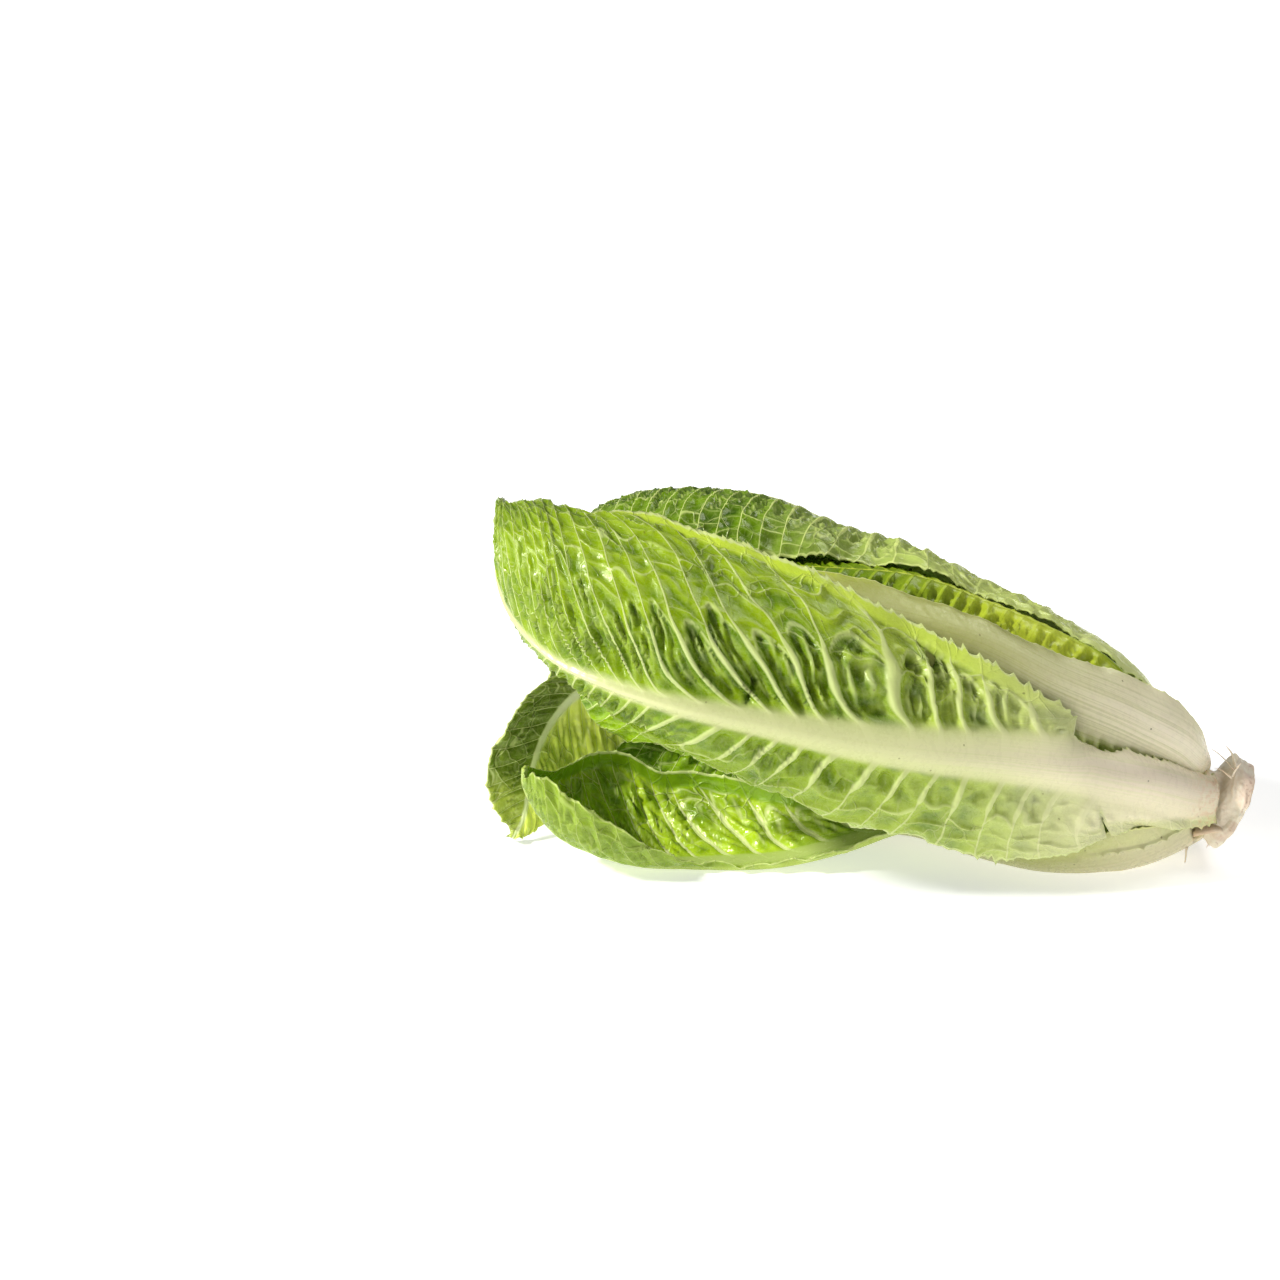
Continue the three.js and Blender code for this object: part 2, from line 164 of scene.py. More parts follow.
def normals_of(points):
    """The direction in which a leaf's outer side faces, at each point of its sheet."""
    down = np.gradient(points, axis=0)
    over = np.gradient(points, axis=1)
    normal = np.cross(over, down)
    return normal / np.maximum(np.linalg.norm(normal, axis=2, keepdims=True), 1e-9)


ROUND_FROM = 0.93  # share of a leaf's length where its rounded tip starts
LEAST_HALF = 1.2  # half width of a leaf at its very tip
RIB_SPREAD = 1.25  # a rib's swelling ends at this many times its half width
RIB_COLUMNS = 0.16  # share of the grid's columns that lie on the rib
SPINE_HALF = 1.2
TEETH_AT_EDGE = 14  # power that keeps the teeth to the margin


def spread_blade(sheet, rib_wide, edge, shape):
    """Spreads a leaf's grid over its middle sheet. Each point knows its distance from
    the base (long) and from the rib (away, or d with a sign for the side), and its
    share of the leaf's length (far) and of its half width (tau)."""
    a, s, x = sheet.a, sheet.s, sheet.x
    place = np.zeros((len(a), len(x), 3))
    d, tau, half = np.zeros((3, len(a), len(x)))
    round_tip = np.sqrt(1 - 0.94 * np.clip((s - ROUND_FROM) / (1 - ROUND_FROM), 0, 1) ** 2)
    for k, pick in enumerate((x >= 0, x < 0)):
        seed = edge["seed"] + 31 * k
        wide = sheet.sides[k].half * round_tip
        wide = wide + edge["scallop"] * (1 - 0.4 * k) * drift(a, 0 * a, edge["scallop_size"], seed)
        if shape:
            wide = shape(k, a, wide)
        wide = np.maximum(wide, LEAST_HALF)
        teeth = teeth_line(a, edge["gap"], edge["teeth"][k], seed + 1)
        for spine_side, spot, tall in edge.get("spines", ()):
            if spine_side == k:
                teeth = np.maximum(teeth, tall * (1 - np.abs(a - spot) / SPINE_HALF))
        zone = np.minimum(rib_wide * RIB_SPREAD, wide * 0.8)
        level = np.abs(x[pick])[None]
        on_rib = zone[:, None] * level / RIB_COLUMNS
        past_rib = np.clip((level - RIB_COLUMNS) / (1 - RIB_COLUMNS), 0, 1)
        on_blade = zone[:, None] + (wide - zone)[:, None] * past_rib
        reach = np.where(level < RIB_COLUMNS, on_rib, on_blade)
        share = reach / wide[:, None]
        reach = reach + teeth[:, None] * share**TEETH_AT_EDGE
        place[:, pick] = on_sheet(sheet, k, reach)
        d[:, pick] = reach if k == 0 else -reach
        tau[:, pick] = share
        half[:, pick] = wide[:, None]
    long = np.repeat(a[:, None], len(x), 1)
    far = np.repeat(s[:, None], len(x), 1)
    return SimpleNamespace(
        place=place, long=long, far=far, d=d, away=np.abs(d), tau=tau, half=half,
        side=(d < 0).astype(float), rib=rib_wide[:, None], length=a[-1],
    )


def by_side(blade, pair):
    """The pair's first value on a leaf's side 0, and its second on side 1."""
    return np.where(blade.side > 0, pair[1], pair[0])


BOW_REACH = 26  # side veins lose their slant over this distance from the rib
HOOK_REACH = 4  # and bend out of the rib over this one
GOLDEN = 0.618034  # spreads the cross veins' starts evenly from gap to gap
CROSS_LEAN, CROSS_TURN = 0.35, 2.4  # how far cross veins lean, and how that changes
CHANCE_ALONG, CHANCE_ACROSS = 1.9, 2.7  # pick the cross veins that are strong


def lay_veins(blade, net):
    """Lays the net of veins over a blade. Side veins slant forward out of the rib and bow
    out, one at each whole phase. Cross veins join them, one at each whole cross, with a
    shift from gap to gap."""
    long, d, away, side = blade.long, blade.d, blade.away, blade.side
    seed = net["seed"]
    warp = 0.2 * drift(long, d, 38, seed) + 0.03 * drift(long, d, 11, seed + 2)
    sweep = by_side(blade, [line_along(row, blade.far) for row in net["sweep"]])
    beyond = away - blade.rib
    leaving = np.exp(-np.maximum(beyond, 0) / HOOK_REACH)
    bow = sweep * away / (1 + away / BOW_REACH)
    hook = net.get("hook", 0) * (1 - side) * (1 - leaving)
    slant = sweep / (1 + away / BOW_REACH) ** 2
    slant = slant + net.get("hook", 0) / HOOK_REACH * (1 - side) * leaving
    tight = 1 / np.sqrt(1 + slant**2)
    crowd = 0.6 * np.maximum(long - 0.68 * blade.length, 0)
    phase = (long + crowd - bow - hook) / net["spacing"] + 0.45 * side + warp
    cross = away / net["cross"] + 0.34 * drift(long, d, 13, seed + 3)
    column = np.floor(phase)
    part = phase - column
    near = 2 * np.abs(part - 0.5)
    shifted = cross + (column * GOLDEN) % 1 + CROSS_LEAN * np.sin(CROSS_TURN * column) * (part - 0.5)
    row = np.floor(shifted + 0.5)
    return SimpleNamespace(
        phase=phase, cross=cross, column=column, part=part, near=near, tight=tight, beyond=beyond,
        from_vein=(1 - near) * net["spacing"] / 2 * tight, from_cross=np.abs(shifted - row) * net["cross"],
        chance=0.5 + 0.5 * np.sin(CHANCE_ALONG * column + CHANCE_ACROSS * row),
    )


SLOT_FULL = 2.6  # depth of hollows at which their painted shade is full
FOLD_HALF = 0.075  # of a fold in a hollow, as a share of the gap between two veins
FOLDS = ((0.55, 3.1), (0.86, 4.3), (1.2, 5.9))  # start in the gap, change from gap to gap


def sink_hollows(blade, net, lines, run):
    """The hollows between the side veins, each arched over at its outer end and creased by folds: their lift,
    arches and folds, and the painted shade they get (slot)."""
    column, beyond, near, tight, side = lines.column, lines.beyond, lines.near, lines.tight, blade.side
    low = by_side(blade, (1, net.get("low_side", 1)))
    steady = ease(0.3, 0.75, tight) * (1 - 0.6 * ease(0.66, 0.8, blade.far))
    top = run * (1.08 + 0.14 * np.sin(3.7 * column + side) - 0.42 * near**2)
    inside = between((0, 5), (top - 2.6, top + 0.6), beyond)
    bowl = (1 - np.minimum(near / 0.84, 1) ** 2) ** 0.38
    depth = (0.75 + 0.25 * np.sin(5.1 * column + 2 * side)) * low * steady
    fold = np.zeros_like(beyond)
    for start, turn in FOLDS:
        line = start - 0.5 * beyond / run + 0.06 * np.sin(turn * column + 0.25 * beyond)
        tall = 0.7 + 0.3 * np.sin(turn * column + 0.35 * beyond)
        fold = np.maximum(fold, tall * tight * bell((lines.part - line) * tight, FOLD_HALF))
    fold = fold * low * inside * bowl
    over_veins = lines.phase * net["spacing"]
    creased = [drift(over_veins, blade.away * 0.4, size, net["seed"] + 7) for size in (6.5, 4)]
    crumple = net["crumple"] * (0.1 + 0.9 * inside * bowl)
    crumple = crumple * (1.4 - 2.2 * np.abs(creased[0]) - 1.5 * np.abs(creased[1]))
    # painted shade in the hollows (slot): darkest on the walls beside the veins and under the arched tops,
    # none on the fold crests, and less towards the base
    wall = ease(0.4, 0.8, near) * inside
    under_arch = inside * bell(beyond - top + 3, 2) * bowl
    slot = 0.3 * inside * bowl + 0.6 * wall + 0.6 * under_arch
    slot = slot * low * steady * np.interp(blade.far, [0.3, 0.6], [0.15, 1]) * (1 - fold)
    return SimpleNamespace(
        lift=net.get("twig", 0) * fold - net["pit"] * depth * inside * bowl + crumple,
        arch=low * ease(0, 3, run - 6) * bell(beyond - top, 1.1), fold=fold, inside=inside,
        slot=slot * net["pit"] / SLOT_FULL,
    )


ARCH_HEIGHT = 0.55  # of an arch next to a side vein


def raise_veins(blade, net):
    """Raises the net of veins and sinks the hollows in it. Side veins stay bold as far
    as the hollows run, then thin out towards the margin and the tip."""
    lines = lay_veins(blade, net)
    beyond, tight = lines.beyond, lines.tight
    fading = 1 - 0.7 * ease(0.58, 0.8, blade.far)
    run = np.minimum(by_side(blade, net["run"]), np.maximum(0.85 * (blade.half - blade.rib - 4), 2))
    nearest = np.floor(lines.phase + 0.5)
    bold = 1 - ease(0.6, 1.15 + 0.12 * np.sin(2.9 * nearest), beyond / run)
    bold = bold * fading
    bold_half, thin_half = net["vein_wide"]
    vein_half = thin_half + (bold_half - thin_half) * bold
    ridge = (0.22 + 0.78 * bold) * ease(0.2, 0.6, tight) * bell(lines.from_vein, vein_half)
    small = (0.25 + 0.5 * lines.chance) * ease(0, 14, beyond) * bell(lines.from_cross, 0.8)
    hollows = sink_hollows(blade, net, lines, run)
    arch = hollows.arch * fading
    cell = np.minimum(lines.from_vein / (net["spacing"] / 2), 1.3 * lines.from_cross / (net["cross"] / 2))
    dome = net["dome"] * (1 - 0.8 * hollows.inside) * ease(0, 12, beyond) * ease(0, 0.9, cell)
    lift = net["ridge"] * np.maximum(np.maximum(ridge, small), ARCH_HEIGHT * arch) + hollows.lift - dome
    swell = drift(blade.long, blade.d, net["swell_size"], net["seed"] + 9)
    swell = net["swell"] * ease(0.1, 0.9, blade.tau) * swell
    off_rib = ease(0.75, 1.35, blade.away / blade.rib)
    return SimpleNamespace(
        lift=lift * off_rib * line_along(net["along"], blade.far) + swell * off_rib, off_rib=off_rib,
        phase=lines.phase, cross=lines.cross, bold=bold, slot=hollows.slot,
        # arch: the pale arch veins, and the fold crests, which the shader paints pale as a highlight
        arch=np.maximum(arch, 0.9 * hollows.fold),
    )


def roll_margins(blade, rolls):
    """Rolls each margin by its start, end, width and drop: gives lift and rolled strip."""
    lift, strip = np.zeros((2, *blade.d.shape))
    for k, (start, finish, wide, drop) in enumerate(rolls):
        span = between((start - 12, start + 12), (finish - 12, finish + 12), blade.long)
        inward = np.clip((blade.away - blade.half) / wide + 1, 0, 1.3) * (blade.side == k) * span
        lift -= drop * inward
        strip = np.maximum(strip, ease(0, 0.25, inward))
    return lift, strip


def skin_mesh(name, outer, inner, grow, marks, maps):
    """A closed skin from a leaf's outer and inner side, with facts for its finish."""
    rows, columns = outer.shape[0] - 1, outer.shape[1] - 1
    bm = bmesh.new()
    bmesh.ops.create_grid(bm, x_segments=columns, y_segments=rows, size=1)
    shell = bmesh.ops.extrude_face_region(bm, geom=bm.faces[:])
    fresh = [v for v in shell["geom"] if isinstance(v, bmesh.types.BMVert)]
    bmesh.ops.translate(bm, verts=fresh, vec=(0, 0, -1))
    bmesh.ops.recalc_face_normals(bm, faces=bm.faces)
    mesh = bpy.data.meshes.new(name)
    bm.to_mesh(mesh)
    bm.free()
    flat = np.empty(len(mesh.vertices) * 3)
    mesh.vertices.foreach_get("co", flat)
    flat = flat.reshape(-1, 3)
    i = np.rint((flat[:, 1] + 1) / 2 * rows).astype(int)
    j = np.rint((flat[:, 0] + 1) / 2 * columns).astype(int)
    back = flat[:, 2] < -0.5
    spot = np.where(back[:, None], inner[i, j], outer[i, j])
    mesh.vertices.foreach_set("co", ((spot - MIDDLE) * MM).ravel())
    mesh.shade_smooth()
    layer = mesh.attributes.new("grow", "FLOAT_COLOR", "POINT")
    layer.data.foreach_set("color", np.stack(grow, -1)[i, j].ravel())
    layer = mesh.attributes.new("inner_side", "FLOAT", "POINT")
    layer.data.foreach_set("value", back.astype(float))
    for title, values in marks.items():
        layer = mesh.attributes.new(title, "FLOAT", "POINT")
        layer.data.foreach_set("value", values[i, j])
    corner = np.empty(len(mesh.loops), np.int32)
    mesh.loops.foreach_get("vertex_index", corner)
    for title, (u, v) in maps.items():
        layer = mesh.uv_layers.new(name=title)
        layer.data.foreach_set("uv", np.stack([u[i, j][corner], v[i, j][corner]], 1).ravel())
    mesh.update()
    skin = bpy.data.objects.new(name, mesh)
    bpy.context.collection.objects.link(skin)
    return skin


BLADE_THICK = (0.75, 0.6, 0.35)  # beside the rib, near the margin, at the margin
LEAST_THICK = 0.5  # where a leaf lies on the table
BASE_ROUND = 3.5  # a leaf's cut base is rounded over this length
NO_ROLL = ((0, 0, 4, 0), (0, 0, 4, 0))


def grow_leaf(name, stations, rows, columns, rib_half, rib_height, net, edge, tone, lumps=(), shape=None):
    """Makes one leaf as a closed skin. net: spacing and relief of its veins. edge: teeth, ruffle and roll of
    its margins. tone: how green it is, and painted shade on one side. lumps: extra bends."""
    sheet = leaf_sheet(stations, rows, columns)
    rib_wide = curve_along(rib_half, sheet.s)
    rib_tall = curve_along(rib_height, sheet.s)
    blade = spread_blade(sheet, rib_wide, edge, shape)
    long, far, d, away, tau, side = blade.long, blade.far, blade.d, blade.away, blade.tau, blade.side
    veins = raise_veins(blade, net)
    roll, strip = roll_margins(blade, edge.get("roll", NO_ROLL))
    ruffle = edge["ruffle"] * ease(edge["ruffle_from"], 1, tau) * (
        drift(long, 20 * side, edge["wave"], edge["seed"] + 5)
        + 0.45 * drift(long, 20 * side, edge["wave"] * 0.4, edge["seed"] + 6)
    )
    extra = sum((f(long, d, tau) for f in lumps), np.zeros_like(d))
    lift = veins.lift * (1 - 0.9 * strip) + ruffle + roll + extra
    rib_part = 0.5 + 0.5 * np.cos(np.pi * np.minimum(away / (RIB_SPREAD * blade.rib), 1))
    end = np.sqrt(1 - (1 - np.clip(long / BASE_ROUND, 0, 1)) ** 2)
    raised = rib_tall[:, None] * rib_part * end
    thick = np.interp(tau, [0, 0.9, 1], BLADE_THICK)
    normal = normals_of(blade.place)
    outer = blade.place + normal * (lift + thick / 2 * end + raised)[..., None]
    inner = blade.place + normal * (lift - thick / 2 * end - 0.12 * raised)[..., None]
    outer[..., 2] = np.maximum(outer[..., 2], TABLE_GAP)
    inner[..., 2] = np.maximum(inner[..., 2], TABLE_GAP + LEAST_THICK)

    beside = ease(0, 1, (away - blade.rib * 0.8) / (tone["fade"] * (1 - 0.7 * far) * (1 - 0.4 * side)))
    leafy = np.maximum((0.2 + 0.8 * beside) * (1 - 0.75 * rib_part), tone.get("plain", 0))
    leafy = leafy * line_along(tone["along"], far)
    leafy = np.maximum(leafy, by_side(blade, tone.get("rim", (0, 0))) * ease(0.55, 0.8, tau))
    # painted shade over one side of a leaf, set by tone's shade pair, a little less near the tip
    shade = by_side(blade, tone.get("shade", (0, 0))) * (1 - 0.35 * ease(0.9, 0.95, far))
    # the painted shade a leaf gets: in its hollows, over one side, and in the dents of its lumps, less on
    # their bulges
    painted_shade = np.clip((veins.slot + shade) * veins.off_rib - extra / 2, 0, 1)
    return skin_mesh(
        name, outer, inner, grow=(rib_part, leafy, tau, far),
        marks={"painted_shade": painted_shade, "strip": strip, "bold": veins.bold, "arch": veins.arch},
        maps={"veins": (veins.phase, veins.cross), "lay": (long / 10, d / 10)},
    )


def srgb(red, green, blue):
    """A paint colour, 0 to 255, as Blender's linear colour."""
    part = [c / 255 for c in (red, green, blue)]
    return [c / 12.92 if c < 0.04 else ((c + 0.055) / 1.055) ** 2.4 for c in part] + [1]


class Paint:
    """Puts shader nodes into one node tree."""

    def __init__(self, tree):
        self.tree = tree

    def put(self, kind, feeds=(), **settings):
        """Adds a node, sets it and feeds its sockets."""
        made = self.tree.nodes.new(kind)
        for key, value in settings.items():
            setattr(made, key, value)
        for socket, feed in dict(feeds).items():
            self.feed(made.inputs[socket], feed)
        return made

    def feed(self, socket, feed):
        """Links a socket to another node's, or gives it a plain value."""
        if isinstance(feed, bpy.types.NodeSocket):
            self.tree.links.new(feed, socket)
        else:
            socket.default_value = feed

    def mark(self, name):
        """A value that each point of the mesh carries."""
        return self.put("ShaderNodeAttribute", attribute_name=name).outputs["Fac"]

    def noise(self, where, scale, detail, roughness=0.5, dimensions="2D"):
        feeds = {"Vector": where, "Scale": scale, "Detail": detail, "Roughness": roughness}
        return self.put("ShaderNodeTexNoise", feeds, noise_dimensions=dimensions).outputs

    def cells(self, where, scale, feature):
        feeds = {"Vector": where, "Scale": scale, "Randomness": 1.0}
        made = self.put("ShaderNodeTexVoronoi", feeds, feature=feature, voronoi_dimensions="2D")
        return made.outputs["Distance"]

    def calc(self, operation, *feeds, clamp=False):
        made = self.put("ShaderNodeMath", enumerate(feeds), operation=operation, use_clamp=clamp)
        return made.outputs[0]

    def times(self, first, second):
        return self.calc("MULTIPLY", first, second)

    def add(self, first, second):
        return self.calc("ADD", first, second)

    def most(self, first, second):
        return self.calc("MAXIMUM", first, second)

    def fit(self, value, low, high, to_low=0.0, to_high=1.0):
        """Maps low to high smoothly onto another range, and stays inside it."""
        feeds = {"Value": value, "From Min": low, "From Max": high, "To Min": to_low, "To Max": to_high}
        return self.put("ShaderNodeMapRange", feeds, interpolation_type="SMOOTHSTEP", clamp=True).outputs[0]

    def blend(self, share, first, second):
        """Goes from the first colour to the second by share."""
        feeds = {0: share, 6: first, 7: second}
        return self.put("ShaderNodeMix", feeds, data_type="RGBA").outputs[2]


COLOR, VALUE = "NodeSocketColor", "NodeSocketFloat"

# The flesh of a leaf: green blade, paler net of veins, cream rib with fine lines.
flesh = bpy.data.node_groups.new("leaf flesh", "ShaderNodeTree")
for title in ("Green", "Deep", "Vein", "Pale", "Rib", "Stain", "Strip"):
    flesh.interface.new_socket(title, in_out="INPUT", socket_type=COLOR)
for title, usual in (
    ("Vein strength", 0.8), ("Vein width", 1.0), ("Mottle and shade", 0.5), ("Specks", 0.0), ("Gloss", 0.0),
):
    flesh.interface.new_socket(title, in_out="INPUT", socket_type=VALUE).default_value = usual
for title, kind in (("Color", COLOR), ("Roughness", VALUE), ("Height", VALUE)):
    flesh.interface.new_socket(title, in_out="OUTPUT", socket_type=kind)
given = flesh.nodes.new("NodeGroupInput").outputs
result = flesh.nodes.new("NodeGroupOutput").inputs
mix = Paint(flesh)

grown = mix.put("ShaderNodeAttribute", attribute_name="grow").outputs
on_rib, leafy, reach = mix.put("ShaderNodeSeparateColor", {"Color": grown["Color"]}).outputs
tipward = grown["Alpha"]
vein_map = mix.put("ShaderNodeUVMap", uv_map="veins").outputs[0]
lay_map = mix.put("ShaderNodeUVMap", uv_map="lay").outputs[0]

# distances from the side veins and the cross veins, as in lay_veins
phase, cross, _ = mix.put("ShaderNodeSeparateXYZ", {"Vector": vein_map}).outputs
column = mix.calc("FLOOR", phase)
off_middle = mix.calc("SUBTRACT", mix.calc("SUBTRACT", phase, column), 0.5)
from_vein = mix.calc("SUBTRACT", 0.5, mix.calc("ABSOLUTE", off_middle))
offset = mix.calc("FRACT", mix.times(column, GOLDEN))
lean = mix.times(mix.calc("SINE", mix.times(column, CROSS_TURN)), CROSS_LEAN)
shifted = mix.add(cross, mix.calc("MULTIPLY_ADD", lean, off_middle, offset))
row = mix.calc("FLOOR", mix.add(shifted, 0.5))
from_cross = mix.calc("ABSOLUTE", mix.calc("SUBTRACT", shifted, row))
chance = mix.calc("MULTIPLY_ADD", row, CHANCE_ACROSS, mix.times(column, CHANCE_ALONG))
chance = mix.fit(mix.calc("SINE", chance), -1.0, 1.0, 0.25, 1.0)

# lines: side veins, cross veins, and two ever finer nets between them
patches = mix.noise(lay_map, 0.55, 3.0, 0.55)[0]
speckle = mix.noise(lay_map, 5.0, 4.0, 0.6)[0]
main_width = mix.times(mix.fit(mix.mark("bold"), 0.0, 1.0, 0.04, 0.13), given["Vein width"])
main_vein = mix.fit(mix.calc("DIVIDE", from_vein, main_width), 0.5, 1.0, 1.0, 0.0)
side_vein = mix.fit(from_cross, 0.02, 0.07, 1.0, 0.0)
side_vein = mix.times(side_vein, mix.times(chance, mix.fit(reach, 0.1, 0.6)))
wander = mix.noise(lay_map, 1.1, 1.0)["Color"]
wander = mix.put("ShaderNodeVectorMath", {0: wander, 1: (0.7, 0.7, 0.0)}, operation="MULTIPLY").outputs[0]
wander = mix.put("ShaderNodeVectorMath", {0: wander, 1: lay_map}, operation="ADD").outputs[0]
fine_cells = mix.cells(wander, 1.35, "DISTANCE_TO_EDGE")
hair_vein = mix.fit(mix.cells(lay_map, 5.0, "DISTANCE_TO_EDGE"), 0.0, 0.1, 1.0, 0.0)
faint = mix.most(mix.fit(reach, 0.3, 0.75), mix.fit(tipward, 0.66, 0.85))
faint = mix.times(faint, mix.fit(patches, 0.35, 0.6, 0.1, 1.0))
fine_vein = mix.times(mix.fit(fine_cells, 0.01, 0.05, 1.0, 0.0), faint)
net_share = mix.most(mix.most(main_vein, mix.times(side_vein, 0.75)), mix.times(fine_vein, 0.5))
net_share = mix.most(net_share, mix.times(hair_vein, 0.12))
# the arch veins, and the fold crests painted pale as a highlight
net_share = mix.most(net_share, mix.fit(mix.mark("arch"), 0.2, 0.85, 0.0, 0.7))

# blade: green, Deep green in random mottle and as painted shade, under the pale net, with a pale rolled strip
cell_depth = mix.fit(mix.calc("MINIMUM", from_vein, from_cross), 0.06, 0.42)
deep = mix.add(mix.times(cell_depth, 0.45), mix.fit(patches, 0.4, 0.68, 0.0, 0.6))
deep = mix.most(deep, mix.times(mix.mark("painted_shade"), 1.5))
deep = mix.calc("MULTIPLY", given["Mottle and shade"], deep, clamp=True)
young = mix.blend(mix.fit(tipward, 0.32, 0.62, 0.6, 0.0), given["Green"], given["Strip"])
blade = mix.blend(deep, young, given["Deep"])
blade = mix.blend(mix.times(mix.fit(speckle, 0.35, 0.7), 0.08), blade, given["Vein"])
blade = mix.blend(mix.times(net_share, given["Vein strength"]), blade, given["Vein"])
# the rolled strip: smooth and without the net, and on the outer finishes painted lighter as the light the
# flared strip catches
blade = mix.blend(mix.times(mix.mark("strip"), 0.85), blade, given["Strip"])

# whole leaf: pale flesh beside the rib, the lined rib, the thin bright margin
stretch = mix.put("ShaderNodeMapping", {"Vector": lay_map, "Scale": (0.06, 8.0, 1.0)}).outputs[0]
lines = mix.noise(stretch, 2.2, 3.0, 0.6)[0]
pale = mix.blend(mix.fit(tipward, 0.1, 0.36, 0.7, 0.0), given["Pale"], given["Rib"])
rib_tint = mix.blend(mix.fit(tipward, 0.1, 0.5, 0.0, 0.9), given["Rib"], given["Pale"])
rib_tint = mix.blend(mix.fit(lines, 0.4, 0.7, 0.0, 0.4), rib_tint, given["Pale"])
body = mix.blend(leafy, pale, blade)
body = mix.blend(mix.fit(reach, 0.968, 0.982, 0.0, 0.8), body, given["Vein"])
body = mix.blend(on_rib, body, rib_tint)

# wear: a tan base, single brown dots, and rust spots at the cut
tan = mix.times(mix.fit(tipward, 0.0, 0.07, 1.0, 0.0), mix.fit(speckle, 0.4, 0.65))
body = mix.blend(mix.times(tan, 0.55), body, given["Stain"])
dot = mix.fit(mix.cells(lay_map, 0.45, "F1"), 0.008, 0.02, 1.0, 0.0)
body = mix.blend(mix.times(dot, given["Specks"]), body, srgb(96, 84, 40))
rust = mix.fit(mix.cells(lay_map, 3.4, "F1"), 0.1, 0.2, 1.0, 0.0)
rust = mix.times(rust, mix.fit(tipward, 0.02, 0.05, 1.0, 0.0))
rust = mix.times(rust, mix.fit(patches, 0.45, 0.6))
body = mix.blend(mix.times(rust, given["Specks"]), body, srgb(128, 52, 24))
mix.feed(result["Color"], body)
rough = mix.calc("MULTIPLY_ADD", net_share, 0.1, mix.fit(speckle, 0.3, 0.75, 0.2, 0.4))
mix.feed(result["Roughness"], mix.calc("MULTIPLY_ADD", given["Gloss"], -0.1, rough))
relief = mix.add(mix.times(fine_vein, 0.35), mix.times(speckle, 0.12))
relief = mix.add(relief, mix.times(net_share, 0.3))
relief = mix.add(relief, mix.times(faint, mix.fit(fine_cells, 0.0, 0.3, 0.0, -0.5)))
mix.feed(result["Height"], mix.add(mix.times(relief, leafy), mix.times(lines, 0.1)))


def leaf_skin(name, outer, inner, see_through=0.05):
    """A leaf's finish: colours of its outer and its inner side, with a waxy gloss."""
    skin = bpy.data.materials.new(name)
    skin.use_nodes = True
    mix = Paint(skin.node_tree)
    looks = []
    for colours in (outer, inner):
        look = mix.put("ShaderNodeGroup", node_tree=flesh)
        for title, value in colours.items():
            look.inputs[title].default_value = srgb(*value) if isinstance(value, tuple) else value
        looks.append(look.outputs)
    facing = mix.mark("inner_side")
    dull = {0: facing, 2: looks[0]["Roughness"], 3: looks[1]["Roughness"]}
    pressed = {"Height": looks[0]["Height"], "Distance": 0.0005, "Strength": 0.9}
    for title, feed in {
        "Base Color": mix.blend(facing, looks[0]["Color"], looks[1]["Color"]),
        "Roughness": mix.put("ShaderNodeMix", dull).outputs[0],
        "Normal": mix.put("ShaderNodeBump", pressed).outputs[0],
        "IOR": 1.42,
        "Specular Tint": (0.96, 1.0, 0.7, 1.0),
        "Subsurface Weight": see_through,
        "Subsurface Radius": (0.6, 1.0, 0.25),
        "Subsurface Scale": 0.003,
    }.items():
        mix.feed(skin.node_tree.nodes["Principled BSDF"].inputs[title], feed)
    return skin


def dress(leaf, finish, node):
    """Gives a leaf its finish, hides its node's CAD part, and hangs the leaf on the root body."""
    leaf.data.materials.append(finish)
    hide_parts(node)
    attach(leaf, "root")


# each leaf's stations, from stem to tip: a point on the rib, then one on either margin
FRONT_STATIONS = [
    [114, -10, 25, 114, -7.5, 29.5, 114, -12, 19],
    [103, -18, 30, 103, -13.5, 36, 104, -19, 19],
    [90, -26, 37, 89, -22, 43, 91, -25, 20],
    [72, -34, 44, 71, -29, 49, 75, -31, 20],
    [67, -36, 46, 66, -30, 52, 70, -32, 18],
    [58, -39, 48.5, 64, -32, 61, 59, -34, 15],
    [40, -43, 52.5, 38, -31, 77, 38, -37, 14.5],
    [16, -48, 57, 8, -27, 92, 10, -38, 23.5],
    [-9, -51, 62, -22, -24, 107, -18, -39, 32],
    [-38, -53, 69, -55, -12, 116, -45, -38, 44],
    [-62, -52.5, 74, -80, 3, 118, -66, -35, 55],
    [-84, -45, 78, -98, 10, 116, -84, -30, 64],
    [-103, -31, 82, -109, 14, 117, -98, -18, 72],
    [-115, -17, 89, -116, 17, 116, -110, -4, 80],
    [-121, -1, 97, -120, 19, 115.5, -119, 8, 90],
    [-122, 12, 107, -121, 20, 114, -122, 16, 104],
]
SLIT_AT, SLIT_HALF, SLIT_DEEP = 51, 1.5, 16  # in the lower margin
TEAR_AT, TEAR_DEEP = 171, 3.4  # across the upper half, close to the rib


def front_outline(k, a, wide):
    """The upper lobe starts abruptly beside the rib; the lower one behind a slit."""
    if k == 0:
        wide = wide - 7 * between((145, 180), (210, 235), a)
        return np.where(a < 120, np.minimum(wide, 8.5 + 60 * ease(65, 68, a)), wide)
    slit = SLIT_DEEP * np.maximum(0, 1 - np.abs(a - SLIT_AT) / SLIT_HALF)
    return wide + 3 * (1 - ease(45, 75, a)) - slit


def short_tear(long, d, tau):
    """A short crack across the blade, close above the rib."""
    return -TEAR_DEEP * bell(long - TEAR_AT + 0.25 * (d - 9.5), 0.6) * between((4.6, 6), (13, 14.4), d)


